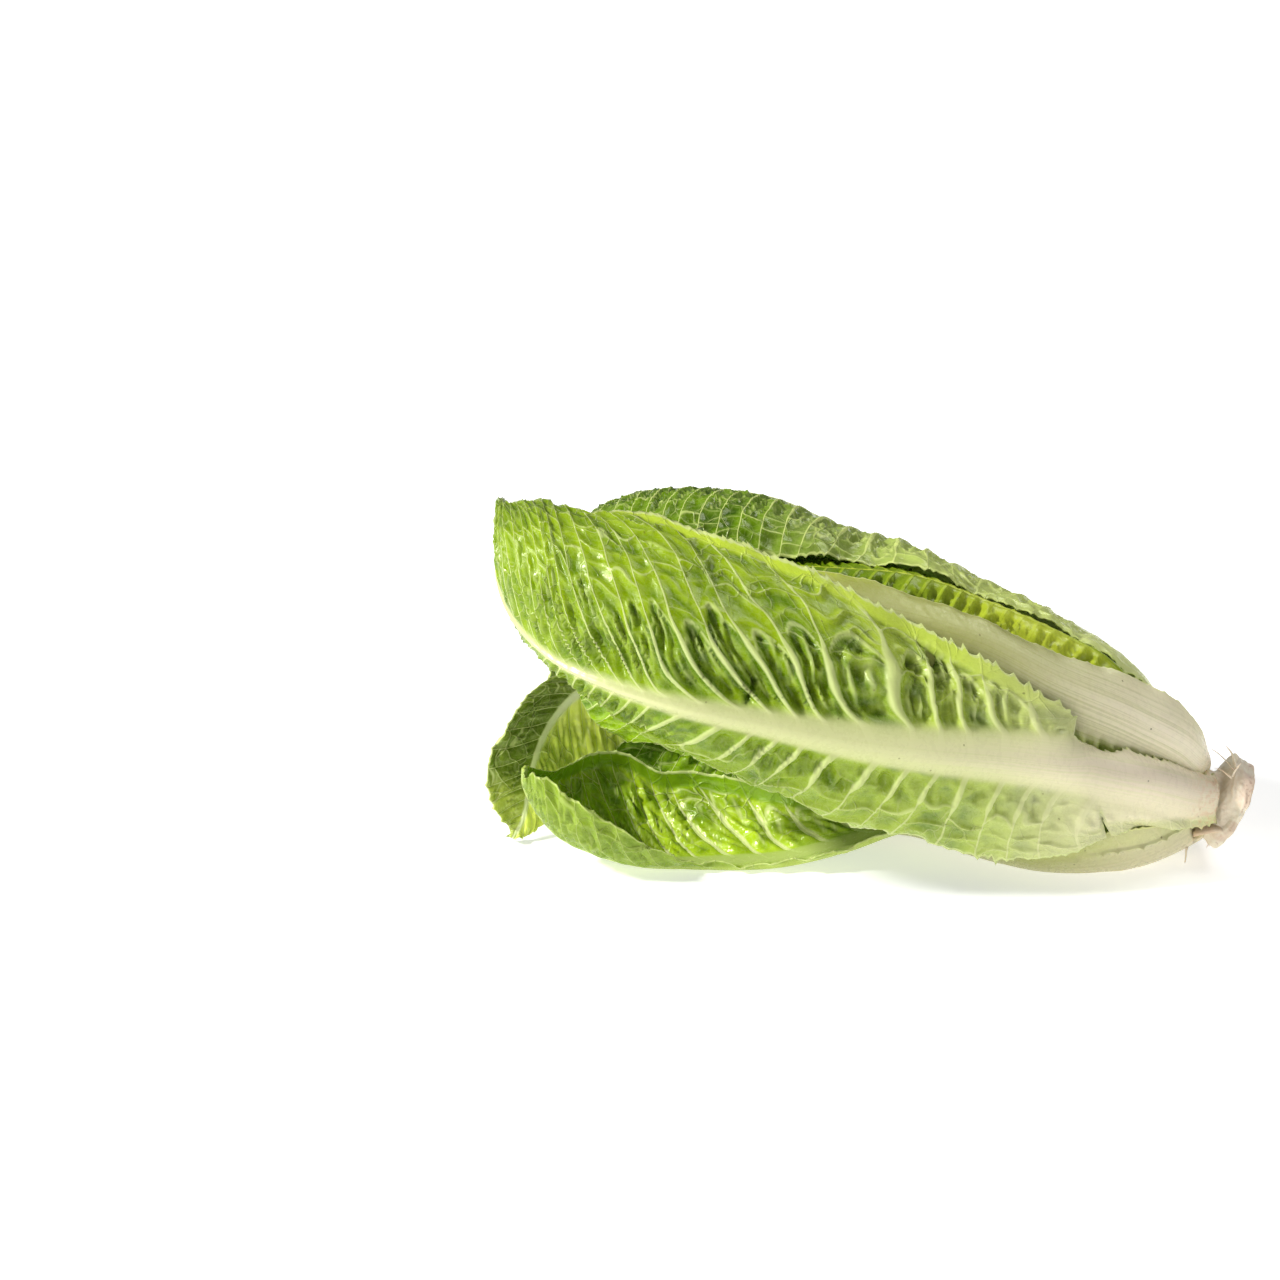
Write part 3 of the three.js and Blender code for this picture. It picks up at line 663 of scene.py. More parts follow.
OUTER_GREEN = {
    "Green": (142, 170, 8), "Deep": (88, 120, 0), "Vein": (204, 214, 142), "Pale": (206, 210, 148),
    "Rib": (236, 222, 198), "Stain": (206, 160, 124), "Strip": (190, 212, 64),
    "Vein strength": 0.75, "Mottle and shade": 1.0, "Specks": 0.5,
}
INNER_GREEN = {
    "Green": (146, 184, 10), "Deep": (78, 116, 0), "Vein": (228, 238, 158), "Pale": (190, 208, 112),
    "Rib": (206, 216, 150), "Stain": (204, 180, 140), "Strip": (128, 170, 20),
    "Vein strength": 0.8, "Vein width": 0.6, "Mottle and shade": 1.0, "Gloss": 1.0,
}
front = grow_leaf(
    "leaf_front_skin", FRONT_STATIONS, rows=330, columns=144,
    rib_half=[9, 9, 7, 3.6, 1.2, 0.7], rib_height=[3.4, 3.2, 2.8, 2.2, 1.1, 0.4],
    net={
        "spacing": 10.8, "cross": 8, "seed": 4, "ridge": 1.3, "run": (26, 13),
        "sweep": ([0.3, 0.3, 0.2, 0, 0, 0.95, 1.4, 1.6, 1.6, 1.4, 1.2], [0.5, 0.7, 0.9, 1.1, 1.2]),
        "vein_wide": (1.3, 0.7), "pit": 3.2, "twig": 3.0, "hook": 4, "low_side": 0.3,
        "crumple": 1.0, "dome": 0.8, "swell": 1.1, "swell_size": 30,
        "along": [0, 0.1, 0.7, 1, 1, 1, 0.9, 0.6, 0.45],
    },
    edge={
        "seed": 21, "scallop": 0.7, "scallop_size": 12, "gap": 3, "teeth": (2.4, 1.6),
        "ruffle": 0.5, "ruffle_from": 0.55, "wave": 26, "roll": ((80, 195, 6, -2.2), (0, 0, 6, 0)),
        "spines": ((1, 85.2, 4.2), (1, 87.6, 3.4), (1, 90.2, 3.6), (1, 40, 2.4), (1, 44, 2)),
    },
    lumps=(short_tear,),
    shape=front_outline,
    # painted shade over the lower half of the leaf
    tone={"along": [0, 0.12, 0.85, 1, 1, 1, 1], "fade": 6, "shade": (0, 0.2), "rim": (0, 0.4)},
)
outer_finish = leaf_skin("outer leaf", OUTER_GREEN, INNER_GREEN)
dress(front, outer_finish, "leaf_front")

# ---------------------------------------------------------------------------
# Leaf above the front one. Mostly a broad, smooth cream stalk with fine lines
# along it, thinning to a green blade only near the tip of the head.
# ---------------------------------------------------------------------------
TOP_STATIONS = [
    [112, -1, 32, 112, 2, 32, 112, -4, 31],
    [108, -8, 36, 109, -5, 44, 108, -9, 30],
    [102, -12, 43, 103, -8, 54, 101, -13, 34],
    [84, -18, 55, 84, -11, 67, 83, -20, 41],
    [57, -24, 69, 57, -13, 78.5, 56, -29, 54],
    [31, -24, 83, 31, -13, 91, 30, -33, 66],
    [6, -25, 91, 5, -12, 100, 4, -37, 74],
    [-22, -25, 97, -24, -10, 104, -24, -38, 82],
    [-50, -23, 100, -54, -7, 105, -52, -37, 86],
    [-78, -19, 98, -82, -4, 102, -78, -31, 88],
    [-96, -13, 94, -98, -5, 97, -95, -20, 90],
]
STALK_OUTER = {
    "Green": (200, 222, 40), "Deep": (150, 182, 10), "Vein": (222, 226, 150), "Pale": (162, 166, 84),
    "Rib": (250, 240, 212), "Stain": (230, 204, 170), "Strip": (190, 206, 90),
    "Vein strength": 0.5, "Mottle and shade": 0.6, "Specks": 0.7,
}
STALK_INNER = {
    "Green": (160, 190, 66), "Deep": (110, 156, 30), "Vein": (220, 228, 160), "Pale": (204, 208, 134),
    "Rib": (214, 214, 158), "Stain": (220, 196, 156), "Strip": (170, 190, 60),
    "Vein strength": 0.5, "Vein width": 0.8, "Mottle and shade": 0.6,
}
STALK_CLEAR = 0.12  # how much light goes into the thick stalks
SMOOTH_NET = {
    "spacing": 10, "cross": 8, "sweep": ([1.2], [1.2]), "seed": 15, "ridge": 0.4, "run": (14, 14),
    "vein_wide": (1.3, 0.6), "pit": 0.4, "crumple": 0.15, "dome": 0.2,
    "swell": 0.3, "swell_size": 40, "along": [0, 0, 0, 0.2, 0.5, 1, 1],
}


def low_frill(long, d, tau):
    """A small green frill on the lower margin, close to the stem."""
    here = between((28, 38), (66, 74), long) * (d < 0) * ease(0.5, 0.9, tau)
    return here * (1.0 + 1.4 * np.sin(long * 1.05) + 0.7 * np.sin(long * 0.43 + 1))


top = grow_leaf(
    "leaf_top_skin", TOP_STATIONS, rows=200, columns=90,
    rib_half=[7, 14, 17, 16, 12, 8, 3], rib_height=[2, 2.4, 2.4, 1.8, 1.2, 0.8, 0.4], net=SMOOTH_NET,
    edge={
        "seed": 44, "scallop": 0.35, "scallop_size": 14, "gap": 5, "teeth": (0.7, 0.5),
        "ruffle": 0.35, "ruffle_from": 0.7, "wave": 18,
    },
    lumps=(low_frill,),
    shape=lambda k, a, wide: wide - (k == 0) * 3.2 * between((40, 75), (120, 150), a),
    tone={"along": [0, 0, 0.05, 0.15, 0.4, 0.9, 1], "fade": 10, "rim": (0, 0.9)},
)
stalk_finish = leaf_skin("broad stalk", STALK_OUTER, STALK_INNER, see_through=STALK_CLEAR)
dress(top, stalk_finish, "leaf_top")

# ---------------------------------------------------------------------------
# Leaf between the top ones. Only its puckered edge shows, as a ruffled band, bright by the stem and painted
# dark green towards the tip of the head as the shade under the leaf over it.
# ---------------------------------------------------------------------------
INNER_STATIONS = [
    [104, 1, 36, 104, 5, 34, 104, -3, 34],
    [96, -2, 48, 96, 5, 45, 96, -8, 44],
    [84, -3, 61.5, 84, 8, 59, 84, -11, 56],
    [60, -3.5, 76, 60, 10, 72.5, 60, -15, 70],
    [35, -3.5, 87.5, 35, 13, 84.5, 35, -17, 81],
    [8, -4, 98, 8, 15, 94, 8, -19, 90],
    [-22, -6, 102, -24, 14, 99, -22, -19, 95],
    [-50, -6, 102.5, -54, 11, 100, -50, -17, 96],
    [-76, -3, 96.5, -80, 8, 95, -76, -12, 92],
    [-90, -1, 90, -92, 4, 90, -90, -5, 89],
]
# its Green and Deep are painted dark, as the shade under the leaf over it
BRIGHT_OUTER = {
    "Green": (86, 122, 0), "Deep": (60, 94, 0), "Vein": (176, 200, 40), "Pale": (216, 226, 70),
    "Rib": (128, 158, 16), "Stain": (220, 200, 130), "Strip": (200, 220, 40),
    "Vein strength": 0.45, "Mottle and shade": 0.7,
}


def puffed_rib(long, d, tau):
    """The rib's line swells out of the leaf behind the stem, less so further on."""
    return 3.6 * bell(d + 1, 6) * (ease(25, 50, long) - 0.6 * ease(100, 135, long))


top_inner = grow_leaf(
    "leaf_top_inner_skin", INNER_STATIONS, rows=200, columns=80,
    rib_half=[3, 1, 0.5, 0.22, 0.2], rib_height=[0.8, 0.4, 0.2, 0.1, 0.1],
    net={
        "spacing": 5.5, "cross": 5, "sweep": ([0.7], [0.7]), "seed": 61, "ridge": 0.5, "run": (16, 16),
        "vein_wide": (0.9, 0.6), "pit": 0.3, "twig": 0.3, "crumple": 1.3, "dome": 0.4,
        "swell": 0.4, "swell_size": 22, "along": [0.2, 0.8, 1, 1, 1],
    },
    edge={
        "seed": 71, "scallop": 0.8, "scallop_size": 9, "gap": 4, "teeth": (0.8, 1.2),
        "ruffle": 1.1, "ruffle_from": 0.45, "wave": 11,
    },
    lumps=(puffed_rib,),
    tone={"along": [0, 0.2, 0.85, 1, 1], "fade": 2, "plain": 1},
)
bright_finish = leaf_skin("bright inner leaf", BRIGHT_OUTER, INNER_GREEN)
dress(top_inner, bright_finish, "leaf_top_inner")

# ---------------------------------------------------------------------------
# Leaf over the top and the back of the head. Its outer side has a whitish
# waxy sheen, a raised net of pale veins and small spines along its edge.
# ---------------------------------------------------------------------------
BACK_TOP_STATIONS = [
    [112, 8, 28, 112, 10.4, 25, 112, 5, 30.5],
    [106, 11, 36, 106, 12.5, 31.5, 106, 5, 39],
    [97, 17, 45, 97, 18.5, 36, 97, 4, 51],
    [81, 24, 60, 81, 26.5, 45, 81, 1, 67],
    [63, 28, 70, 63, 32, 50, 63, 0.5, 78],
    [38, 31, 81.5, 38, 39.5, 52, 40, 0, 88.5],
    [12, 34, 94, 12, 45.5, 60, 14, -0.5, 99.5],
    [-8, 35, 100, -8, 47.5, 65, -8, -1, 104],
    [-32, 37, 110, -32, 49, 67.5, -32, -4, 107],
    [-55, 38, 113, -55, 50.5, 69, -56, -3, 110],
    [-78, 37, 111, -78, 50, 70, -80, 4, 111],
    [-90, 33, 107, -91, 44, 75, -92, 14, 110],
    [-96, 28, 103, -97, 36, 88, -97, 21, 106],
]
WAXY_OUTER = {
    "Green": (106, 142, 0), "Deep": (54, 86, 0), "Vein": (216, 230, 136), "Pale": (220, 234, 132),
    "Rib": (234, 238, 180), "Stain": (228, 206, 170), "Strip": (186, 208, 110),
    "Vein strength": 0.9, "Vein width": 0.9, "Mottle and shade": 1.0, "Gloss": 1.0,
}
back_top = grow_leaf(
    "leaf_back_top_skin", BACK_TOP_STATIONS, rows=260, columns=110,
    rib_half=[5, 8, 7, 5, 3, 1.5], rib_height=[2.2, 2.6, 2.4, 1.8, 1.2, 0.5],
    net={
        "spacing": 10, "cross": 7, "sweep": ([1.2], [1.2]), "seed": 83, "ridge": 1.1, "run": (22, 24),
        "vein_wide": (1.1, 0.5), "pit": 0.8, "twig": 0.4, "hook": 2, "crumple": 0.7, "dome": 0.7,
        "swell": 0.9, "swell_size": 26, "along": [0, 0.4, 0.9, 1, 1, 1],
    },
    edge={
        "seed": 91, "scallop": 0.9, "scallop_size": 12, "gap": 4, "teeth": (1.2, 1.6),
        "ruffle": 0.8, "ruffle_from": 0.6, "wave": 20,
        "spines": ((1, 34, 2.4), (1, 38.5, 2.8), (1, 43, 2.2), (1, 47, 2.6)),
    },
    shape=lambda k, a, wide: wide - (k == 1) * 2.4 * between((40, 80), (130, 160), a),
    tone={"along": [0, 0.1, 0.45, 1, 1], "fade": 8},
)
waxy_finish = leaf_skin("waxy outer leaf", WAXY_OUTER, INNER_GREEN)
dress(back_top, waxy_finish, "leaf_back_top")

# ---------------------------------------------------------------------------
# Leaf under the stem end. Its broad cream stalk lies on the table, with a thin
# toothed flange standing up along it.
# ---------------------------------------------------------------------------
BOTTOM_STATIONS = [
    [112, -5.5, 10, 112, -9.5, 15, 112, 0, 8.5],
    [104, -9, 7, 104, -15.5, 18.5, 104, 2, 6],
    [92, -12, 3, 92, -22, 19, 92, 6, 4],
    [75, -14, 0.5, 75, -27.5, 19, 75, 9, 2],
    [58, -12, 0.5, 58, -28, 13, 58, 13, 2],
    [38, -5, 2.5, 38, -22, 12, 38, 17, 3],
    [16, 8, 4, 16, -3, 8.5, 16, 22, 5],
    [-10, 15, 1.5, -10, 5, 5, -10, 27, 4.5],
    [-35, 18, 1, -35, 8, 4.5, -35, 28, 4.5],
    [-58, 20, 1.5, -60, 12, 3.5, -58, 27, 4.5],
    [-72, 21, 4, -73, 17, 5, -72, 25, 5],
]


def low_flange(long, d, tau):
    """A thin toothed flange standing along the stalk, on its upper side."""
    line = np.interp(long, [8, 19, 37, 56], [11.5, 13, 15.5, 12])
    tall = 0.8 + 1.3 * np.maximum(0, np.sin(1.5 * long)) ** 6
    return tall * bell(d - line, 0.65) * between((7, 10), (48, 56), long)


bottom = grow_leaf(
    "leaf_bottom_skin", BOTTOM_STATIONS, rows=200, columns=90,
    rib_half=[7, 12, 13, 9, 5, 2], rib_height=[2, 2.4, 2.4, 1.6, 1, 0.5], net=SMOOTH_NET,
    edge={
        "seed": 102, "scallop": 0.5, "scallop_size": 12, "gap": 4, "teeth": (1.1, 0.6),
        "ruffle": 0.4, "ruffle_from": 0.7, "wave": 14,
    },
    lumps=(low_flange,),
    shape=lambda k, a, wide: np.where(a < 20, np.minimum(wide, 3 + 60 * ease(6, 9, a)), wide),
    tone={"along": [0, 0, 0.1, 0.4, 0.8, 1, 1], "fade": 9, "rim": (0.2, 0)},
)
# painted shade: the stalk finish with a darker rib and flesh, for this lower stalk
LOWER_STALK = {**STALK_OUTER, "Rib": (226, 218, 184), "Pale": (156, 160, 84)}
lower_finish = leaf_skin("lower stalk", LOWER_STALK, STALK_INNER, see_through=STALK_CLEAR)
dress(bottom, lower_finish, "leaf_bottom")

# ---------------------------------------------------------------------------
# The two loose leaves at the tip end. One lies like a boat with its glossy
# inner side up; the other arches behind it and curls down to the table.
# ---------------------------------------------------------------------------
LOW_STATIONS = [
    [104, 2, 13, 104, -3, 13.5, 104, 7, 14],
    [92, 2, 10, 92, -5, 10.5, 92, 9, 11],
    [75, 1, 8, 75, -7, 8.5, 75, 10, 9.5],
    [58, 0, 8, 58, -9, 9, 58, 10, 10],
    [38, -4, 11, 38, -13, 12, 38, 7, 13.5],
    [12, -11, 14.5, 12, -16, 15.5, 12, 4, 17],
    [-8, -14, 8.5, -8, -19, 9.5, -10, 6, 15],
    [-30, -14, 2.8, -30, -19, 4.5, -34, 14, 17],
    [-47, -13, 1.2, -48, -19, 3.5, -54, 18, 19.5],
    [-62, -13, 1.2, -62, -20, 6.5, -70, 19, 21],
    [-76, -14, 2.5, -76, -29, 17, -82, 20, 28],
    [-90, -13, 6, -90, -32, 28, -94, 17, 28.5],
    [-102, -12.5, 12, -101, -30, 35, -101, 12, 27],
    [-109, -13, 21, -108, -25, 38, -106, 4, 29],
    [-113, -15, 31, -111, -21, 39, -110, -5, 34],
    [-113, -18, 38, -112, -20, 40, -112, -15, 39],
]
TIP_STATIONS = [
    [100, 6, 24, 100, 6, 20, 100, 6, 28],
    [75, 14, 28, 75, 13, 23, 75, 14, 33],
    [40, 23, 34, 40, 21, 28, 40, 23, 41],
    [0, 30, 40, 0, 27, 32, 0, 30, 49],
    [-40, 34, 45, -40, 32, 33, -41, 33, 54],
    [-70, 34, 48, -68, 34, 31, -72, 33, 56],
    [-86, 32, 48, -79, 33, 26, -92, 32, 55],
    [-95, 30, 45, -85, 31, 20, -104, 28, 51],
    [-103, 26, 38.5, -92, 29, 15, -114, 20, 46],
    [-108.5, 20, 31, -99, 22, 10, -121, 13, 38],
    [-111.5, 15, 23, -105, 15, 6, -125.5, 8, 28],
    [-113, 11, 15, -110, 9, 4, -126, 6, 17],
    [-115, 7, 7, -113, 5, 2, -123, 5, 8],
    [-118, 4.5, 2, -116, 4, 1.2, -121, 4.2, 2.5],
]
MATT_OUTER = {
    "Green": (146, 172, 54), "Deep": (112, 142, 22), "Vein": (190, 206, 116), "Pale": (176, 194, 84),
    "Rib": (186, 198, 104), "Stain": (196, 196, 140), "Strip": (160, 190, 60),
    "Vein strength": 0.6, "Vein width": 0.7, "Mottle and shade": 0.7,
}
LOOSE_INNER = {
    **INNER_GREEN, "Green": (184, 214, 30), "Deep": (122, 158, 8),
    "Vein strength": 1.0, "Vein width": 0.9,
}
PUFFY_NET = {
    "spacing": 11, "cross": 9, "sweep": ([1.3], [1.3]), "seed": 121, "ridge": 1.1, "run": (24, 30),
    "vein_wide": (1.2, 0.7), "pit": 0.8, "twig": 0.6, "hook": 3, "crumple": 0.7, "dome": 0.9,
    "swell": 0.8, "swell_size": 26, "along": [0.3, 0.6, 0.8, 1, 1, 1],
}
low_leaf = grow_leaf(
    "leaf_low_skin", LOW_STATIONS, rows=270, columns=120,
    rib_half=[4, 5, 5, 5, 4.5, 3.5, 1.5], rib_height=[2, 2.4, 2.4, 2.2, 1.8, 1.2, 0.5], net=PUFFY_NET,
    edge={
        "seed": 131, "scallop": 0.9, "scallop_size": 15, "gap": 5, "teeth": (1.0, 0.8),
        "ruffle": 0.9, "ruffle_from": 0.6, "wave": 20, "roll": ((0, 0, 5, 0), (125, 235, 7, 4.6)),
    },
    tone={"along": [0.2, 0.5, 0.8, 1, 1, 1], "fade": 4},
)
tip_leaf = grow_leaf(
    "leaf_low_tip_skin", TIP_STATIONS, rows=270, columns=90,
    rib_half=[3, 3.4, 3, 2.4, 1.8, 1.1, 0.4], rib_height=[1.6, 1.8, 1.6, 1.4, 1.2, 0.8, 0.4],
    net={**PUFFY_NET, "seed": 141, "spacing": 9, "cross": 7, "pit": 0.6, "swell": 0.7},
    edge={
        "seed": 151, "scallop": 0.9, "scallop_size": 11, "gap": 4, "teeth": (1.0, 1.3),
        "ruffle": 1.2, "ruffle_from": 0.5, "wave": 15, "roll": ((0, 0, 5, 0), (0, 0, 5, 0)),
    },
    # painted shade over the left half of the leaf, a little less near its tip
    tone={"along": [0.4, 0.8, 1, 1, 1, 1], "fade": 3, "shade": (0, 1)},
)
# painted light and shade: a near-white green as painted light on the half of the curled leaf that lies under
# the front leaf, and a dark Deep green for the painted shade on its other half
LIT_AND_SHADED_INNER = {
    **INNER_GREEN, "Green": (232, 246, 100), "Deep": (72, 98, 4), "Pale": (226, 234, 176),
    "Rib": (232, 238, 190), "Mottle and shade": 0.6,
}
CURLED_OUTER = {**MATT_OUTER, "Green": (114, 142, 34), "Deep": (84, 112, 12)}
loose_finish = leaf_skin("loose leaf", MATT_OUTER, LOOSE_INNER)
curled_finish = leaf_skin("curled leaf", CURLED_OUTER, LIT_AND_SHADED_INNER)
dress(low_leaf, loose_finish, "leaf_low")
dress(tip_leaf, curled_finish, "leaf_low_tip")

# ---------------------------------------------------------------------------
# The hidden leaves. Two outer leaves close the back of the head, and two tender ones fill its core, painted
# the inner green as shade instead of their own pale colour; all four grow from the stem like the others.
# ---------------------------------------------------------------------------
BACK_STATIONS = [
    [112, 11.5, 20, 112, 11, 17, 112, 11, 23],
    [104, 18, 25, 104, 16, 17, 104, 16, 32],
    [92, 28, 29, 92, 25, 18, 92, 25, 41],
    [75, 38, 36, 75, 34, 21, 75, 34, 51],
    [45, 46, 44, 45, 42, 25, 45, 42, 62],
    [10, 53, 53, 8, 49, 31, 8, 49, 74],
    [-25, 58, 59, -28, 54, 36, -28, 54, 82],
    [-55, 60, 61, -60, 56, 38, -60, 56, 84],
    [-85, 57, 62, -91, 52, 42, -91, 52, 82],
    [-106, 49, 64, -109, 46, 53, -109, 46, 75],
    [-114, 44, 66, -115, 43, 62, -115, 43, 70],
]
BACK_LOW_STATIONS = [
    [112, 8.5, 13, 112, 5.5, 10, 112, 10, 15],
    [104, 12, 15, 104, 8, 10, 104, 13.5, 19],
    [92, 20, 16, 92, 14, 9, 92, 22, 27],
    [75, 28, 17, 75, 20, 8, 75, 30, 34],
    [45, 35, 21, 45, 27, 9, 44, 38, 42],
    [10, 40, 25, 10, 29, 9, 8, 45, 52],
    [-25, 43, 29, -27, 31, 9, -28, 49, 60],
    [-55, 43, 31, -60, 30, 10, -60, 50, 64],
    [-80, 40, 36, -86, 32, 18, -84, 46, 66],
    [-97, 36, 43, -100, 34, 28, -99, 41, 64],
    [-106, 33, 49, -107, 33, 44, -107, 36, 57],
]
CORE_STATIONS = [
    [92, -9, 29, 92, -7, 33, 92, -7, 25],
    [75, -13, 35, 75, -7, 44, 75, -9, 25],
    [45, -19, 43, 45, -8, 57, 45, -12, 30],
    [10, -23, 52, 10, -8, 70, 10, -14, 36],
    [-25, -26, 58, -26, -8, 76, -26, -16, 40],
    [-55, -26, 61, -58, -8, 80, -58, -17, 43],
    [-80, -22, 63, -84, -8, 78, -84, -14, 48],
    [-94, -15, 65, -96, -9, 72, -96, -11, 58],
]
CORE_BACK_STATIONS = [
    [88, 6, 37, 88, 8, 33, 88, 3, 39],
    [60, 14, 50, 60, 17, 42, 60, 8, 56],
    [25, 19, 62, 25, 24, 50, 25, 9, 72],
    [-15, 23, 70, -16, 28, 55, -16, 9, 82],
    [-50, 24, 74, -52, 29, 60, -52, 9, 87],
    [-78, 20, 76, -82, 24, 64, -82, 9, 84],
    [-92, 14, 78, -94, 16, 72, -94, 9, 82],
]
HIDDEN_NET = {
    "spacing": 11, "cross": 8, "sweep": ([1.4], [1.4]), "ridge": 1.2, "run": (22, 20),
    "vein_wide": (1.8, 0.6), "pit": 2.2, "twig": 0.8, "hook": 3, "low_side": 0.8, "crumple": 0.5, "dome": 0.6,
    "swell": 0.8, "swell_size": 28, "along": [0, 0.5, 1, 1, 1, 0.8],
}
HIDDEN_EDGE = {
    "scallop": 0.8, "scallop_size": 13, "gap": 5, "teeth": (1.1, 1.1),
    "ruffle": 1.0, "ruffle_from": 0.55, "wave": 19, "roll": ((0, 0, 5, 0), (0, 0, 5, 0)),
}
RIB_SHAPE = 0.34  # a rib's height next to its half width
# painted shade: the pale core leaves take the inner green, so that where they show in the gap under the front
# leaf they read dark
core_finish = leaf_skin("core leaf", {**INNER_GREEN, "Gloss": 0.3}, INNER_GREEN)
HIDDEN = (
    ("leaf_back", BACK_STATIONS, (190, 96), [5, 9, 7, 5, 3, 1.5], outer_finish, "leaf_green"),
    ("leaf_back_low", BACK_LOW_STATIONS, (190, 90), [4, 7, 6, 4, 3, 1.5], outer_finish, "leaf_green"),
    ("leaf_core", CORE_STATIONS, (130, 60), [3, 5, 4, 3, 2, 1.2], core_finish, "leaf_pale"),
    ("leaf_core_back", CORE_BACK_STATIONS, (120, 50), [3, 4, 4, 3, 2, 1.2], core_finish, "leaf_pale"),
)
for turn, (node, stations, grid, rib_half, finish, slot) in enumerate(HIDDEN):
    hidden = grow_leaf(
        node + "_skin", stations, rows=grid[0], columns=grid[1],
        rib_half=rib_half, rib_height=[RIB_SHAPE * half for half in rib_half],
        net={**HIDDEN_NET, "seed": 161 + 20 * turn},
        edge={**HIDDEN_EDGE, "seed": 171 + 20 * turn},
        tone={"along": [0, 0.4, 0.95, 1, 1, 1], "fade": 7},
    )
    dress(hidden, finish, node)

# ---------------------------------------------------------------------------
# Stem. The short core that every leaf grows from, cut square across its end:
# moist cream flesh, dried tan and pink at the rim, with torn strips left on it.
# ---------------------------------------------------------------------------
CUT_CENTRE = np.array([122.5, -1, 16.5])
CUT_SLOPE = math.radians(26)
INWARD = np.array([-math.cos(CUT_SLOPE), 0, math.sin(CUT_SLOPE)])
UPWARD = np.array([math.sin(CUT_SLOPE), 0, math.cos(CUT_SLOPE)])
SIDEWAYS = np.array([0, 1, 0])
STEM_PROFILE = [  # distance in from the cut face, radius
    (0, 0.01), (0, 7), (0, 13), (0.3, 14.2), (1.2, 14.8), (2.8, 14.6), (4, 13.4), (5, 12.2),
    (6.6, 11), (8.4, 9.6), (10, 8.4), (14, 7.2), (19, 5.4), (24, 3), (27, 1.2), (28, 0.01),
]
DISC_END = (5, 8)  # the wide sawn disc passes into the core over this stretch
DISC_LOBES = ((5, 1, 0.03), (9, 2, 0.022), (17, 0, 0.012))  # count round the disc, start, height
SHOULDER = ((0, 14.4), (8, 16), (10.5, 8), (13, 0))  # distance in, radius of the upper edge
TORN_STRIPS = [  # root, tip, thickness at the root and at the tip, how dried
    ((121, -6, 33.4), (116.8, -6, 41.2), 1.3, 0.08, 0.25),
    ((120.4, -7, 32), (110, -6, 40.6), 0.6, 0.04, 0.35),
    ((116.4, -8, 9.6), (112.4, -8.4, 4.6), 1.2, 0.1, 0.5),
    ((119, -9.5, 12), (106.6, -11.5, 11.4), 3.6, 2.3, 0.5),
    ((118.6, -11.5, 31.5), (112.5, -11.8, 35.2), 0.8, 0.05, 0.6),
    ((119.4, -9, 31), (121.8, -11, 36.6), 0.9, 0.06, 0.3),
    ((105.4, -11.5, 6.4), (105, -12.6, 1.3), 0.55, 0.2, 0.2),
]
STRIP_FLAT = 0.45  # a torn strip's thickness next to its width

bm = bmesh.new()
spine = [bm.verts.new((reach, 0, radius)) for reach, radius in STEM_PROFILE]
for first, second in zip(spine, spine[1:]):
    bm.edges.new((first, second))
bmesh.ops.subdivide_edges(bm, edges=bm.edges[:], cuts=4)
bmesh.ops.spin(
    bm, geom=bm.verts[:] + bm.edges[:], axis=(1, 0, 0), cent=(0, 0, 0), dvec=(0, 0, 0),
    angle=2 * math.pi, steps=120, use_merge=True,
)
bmesh.ops.remove_doubles(bm, verts=bm.verts, dist=0.03)
bmesh.ops.recalc_face_normals(bm, faces=bm.faces)
dryness = bm.verts.layers.float.new("dryness")
rim = bm.verts.layers.float.new("rim")
placed = bm.verts.layers.int.new("placed")
places = np.array([v.co for v in bm.verts])
inward, radius = places[:, 0], np.hypot(places[:, 1], places[:, 2])
turn = np.arctan2(places[:, 2], places[:, 1])
disc = 1 - ease(*DISC_END, inward)
lobes = 0.05 * np.cos(3 * turn)
lobes += disc * sum(tall * np.sin(count * turn + start) for count, start, tall in DISC_LOBES)
chips = 0.05 * disc * np.maximum(0, np.sin(7 * turn + 0.6)) ** 6 * ease(10, 15, radius)
wide = radius * (1 + lobes - chips)
# the upper edge was sawn thicker and stands up as a shoulder
shoulder = np.maximum(0, np.sin(turn + 0.15)) ** 3 * ease(0.8, 3, inward)
wide += shoulder * np.maximum(0, np.interp(inward, *zip(*SHOULDER)) - wide)
wide += 0.22 * drift(inward * 3, turn * 14, 5, 7) * ease(0.5, 3, inward) * ease(0.5, 3, radius)
thick = 1 + disc * (0.55 * np.sin(turn) ** 2 - 0.1 + 0.2 * np.sin(3 * turn + 1.2))
saw_marks = 0.1 * np.sin(radius * 2.4 + 2 * np.sin(turn)) * (1 - ease(0, 0.5, inward))
sunk_rim = 0.9 * (1 - ease(0, 1, inward)) * ease(4, 15, radius)
deep = inward * np.where(inward < DISC_END[1], thick, 1) + saw_marks + sunk_rim
round_way = (
    CUT_CENTRE + deep[:, None] * INWARD
    + (wide * np.cos(turn))[:, None] * SIDEWAYS + (wide * np.sin(turn))[:, None] * UPWARD
)
for vert, spot, edge, far in zip(bm.verts, round_way, ease(12.5, 15, radius) * disc, inward):
    vert.co = (spot - MIDDLE) * MM
    vert[rim] = edge
    vert[dryness] = 0.1 * float(ease(3, 7, far))
    vert[placed] = 1
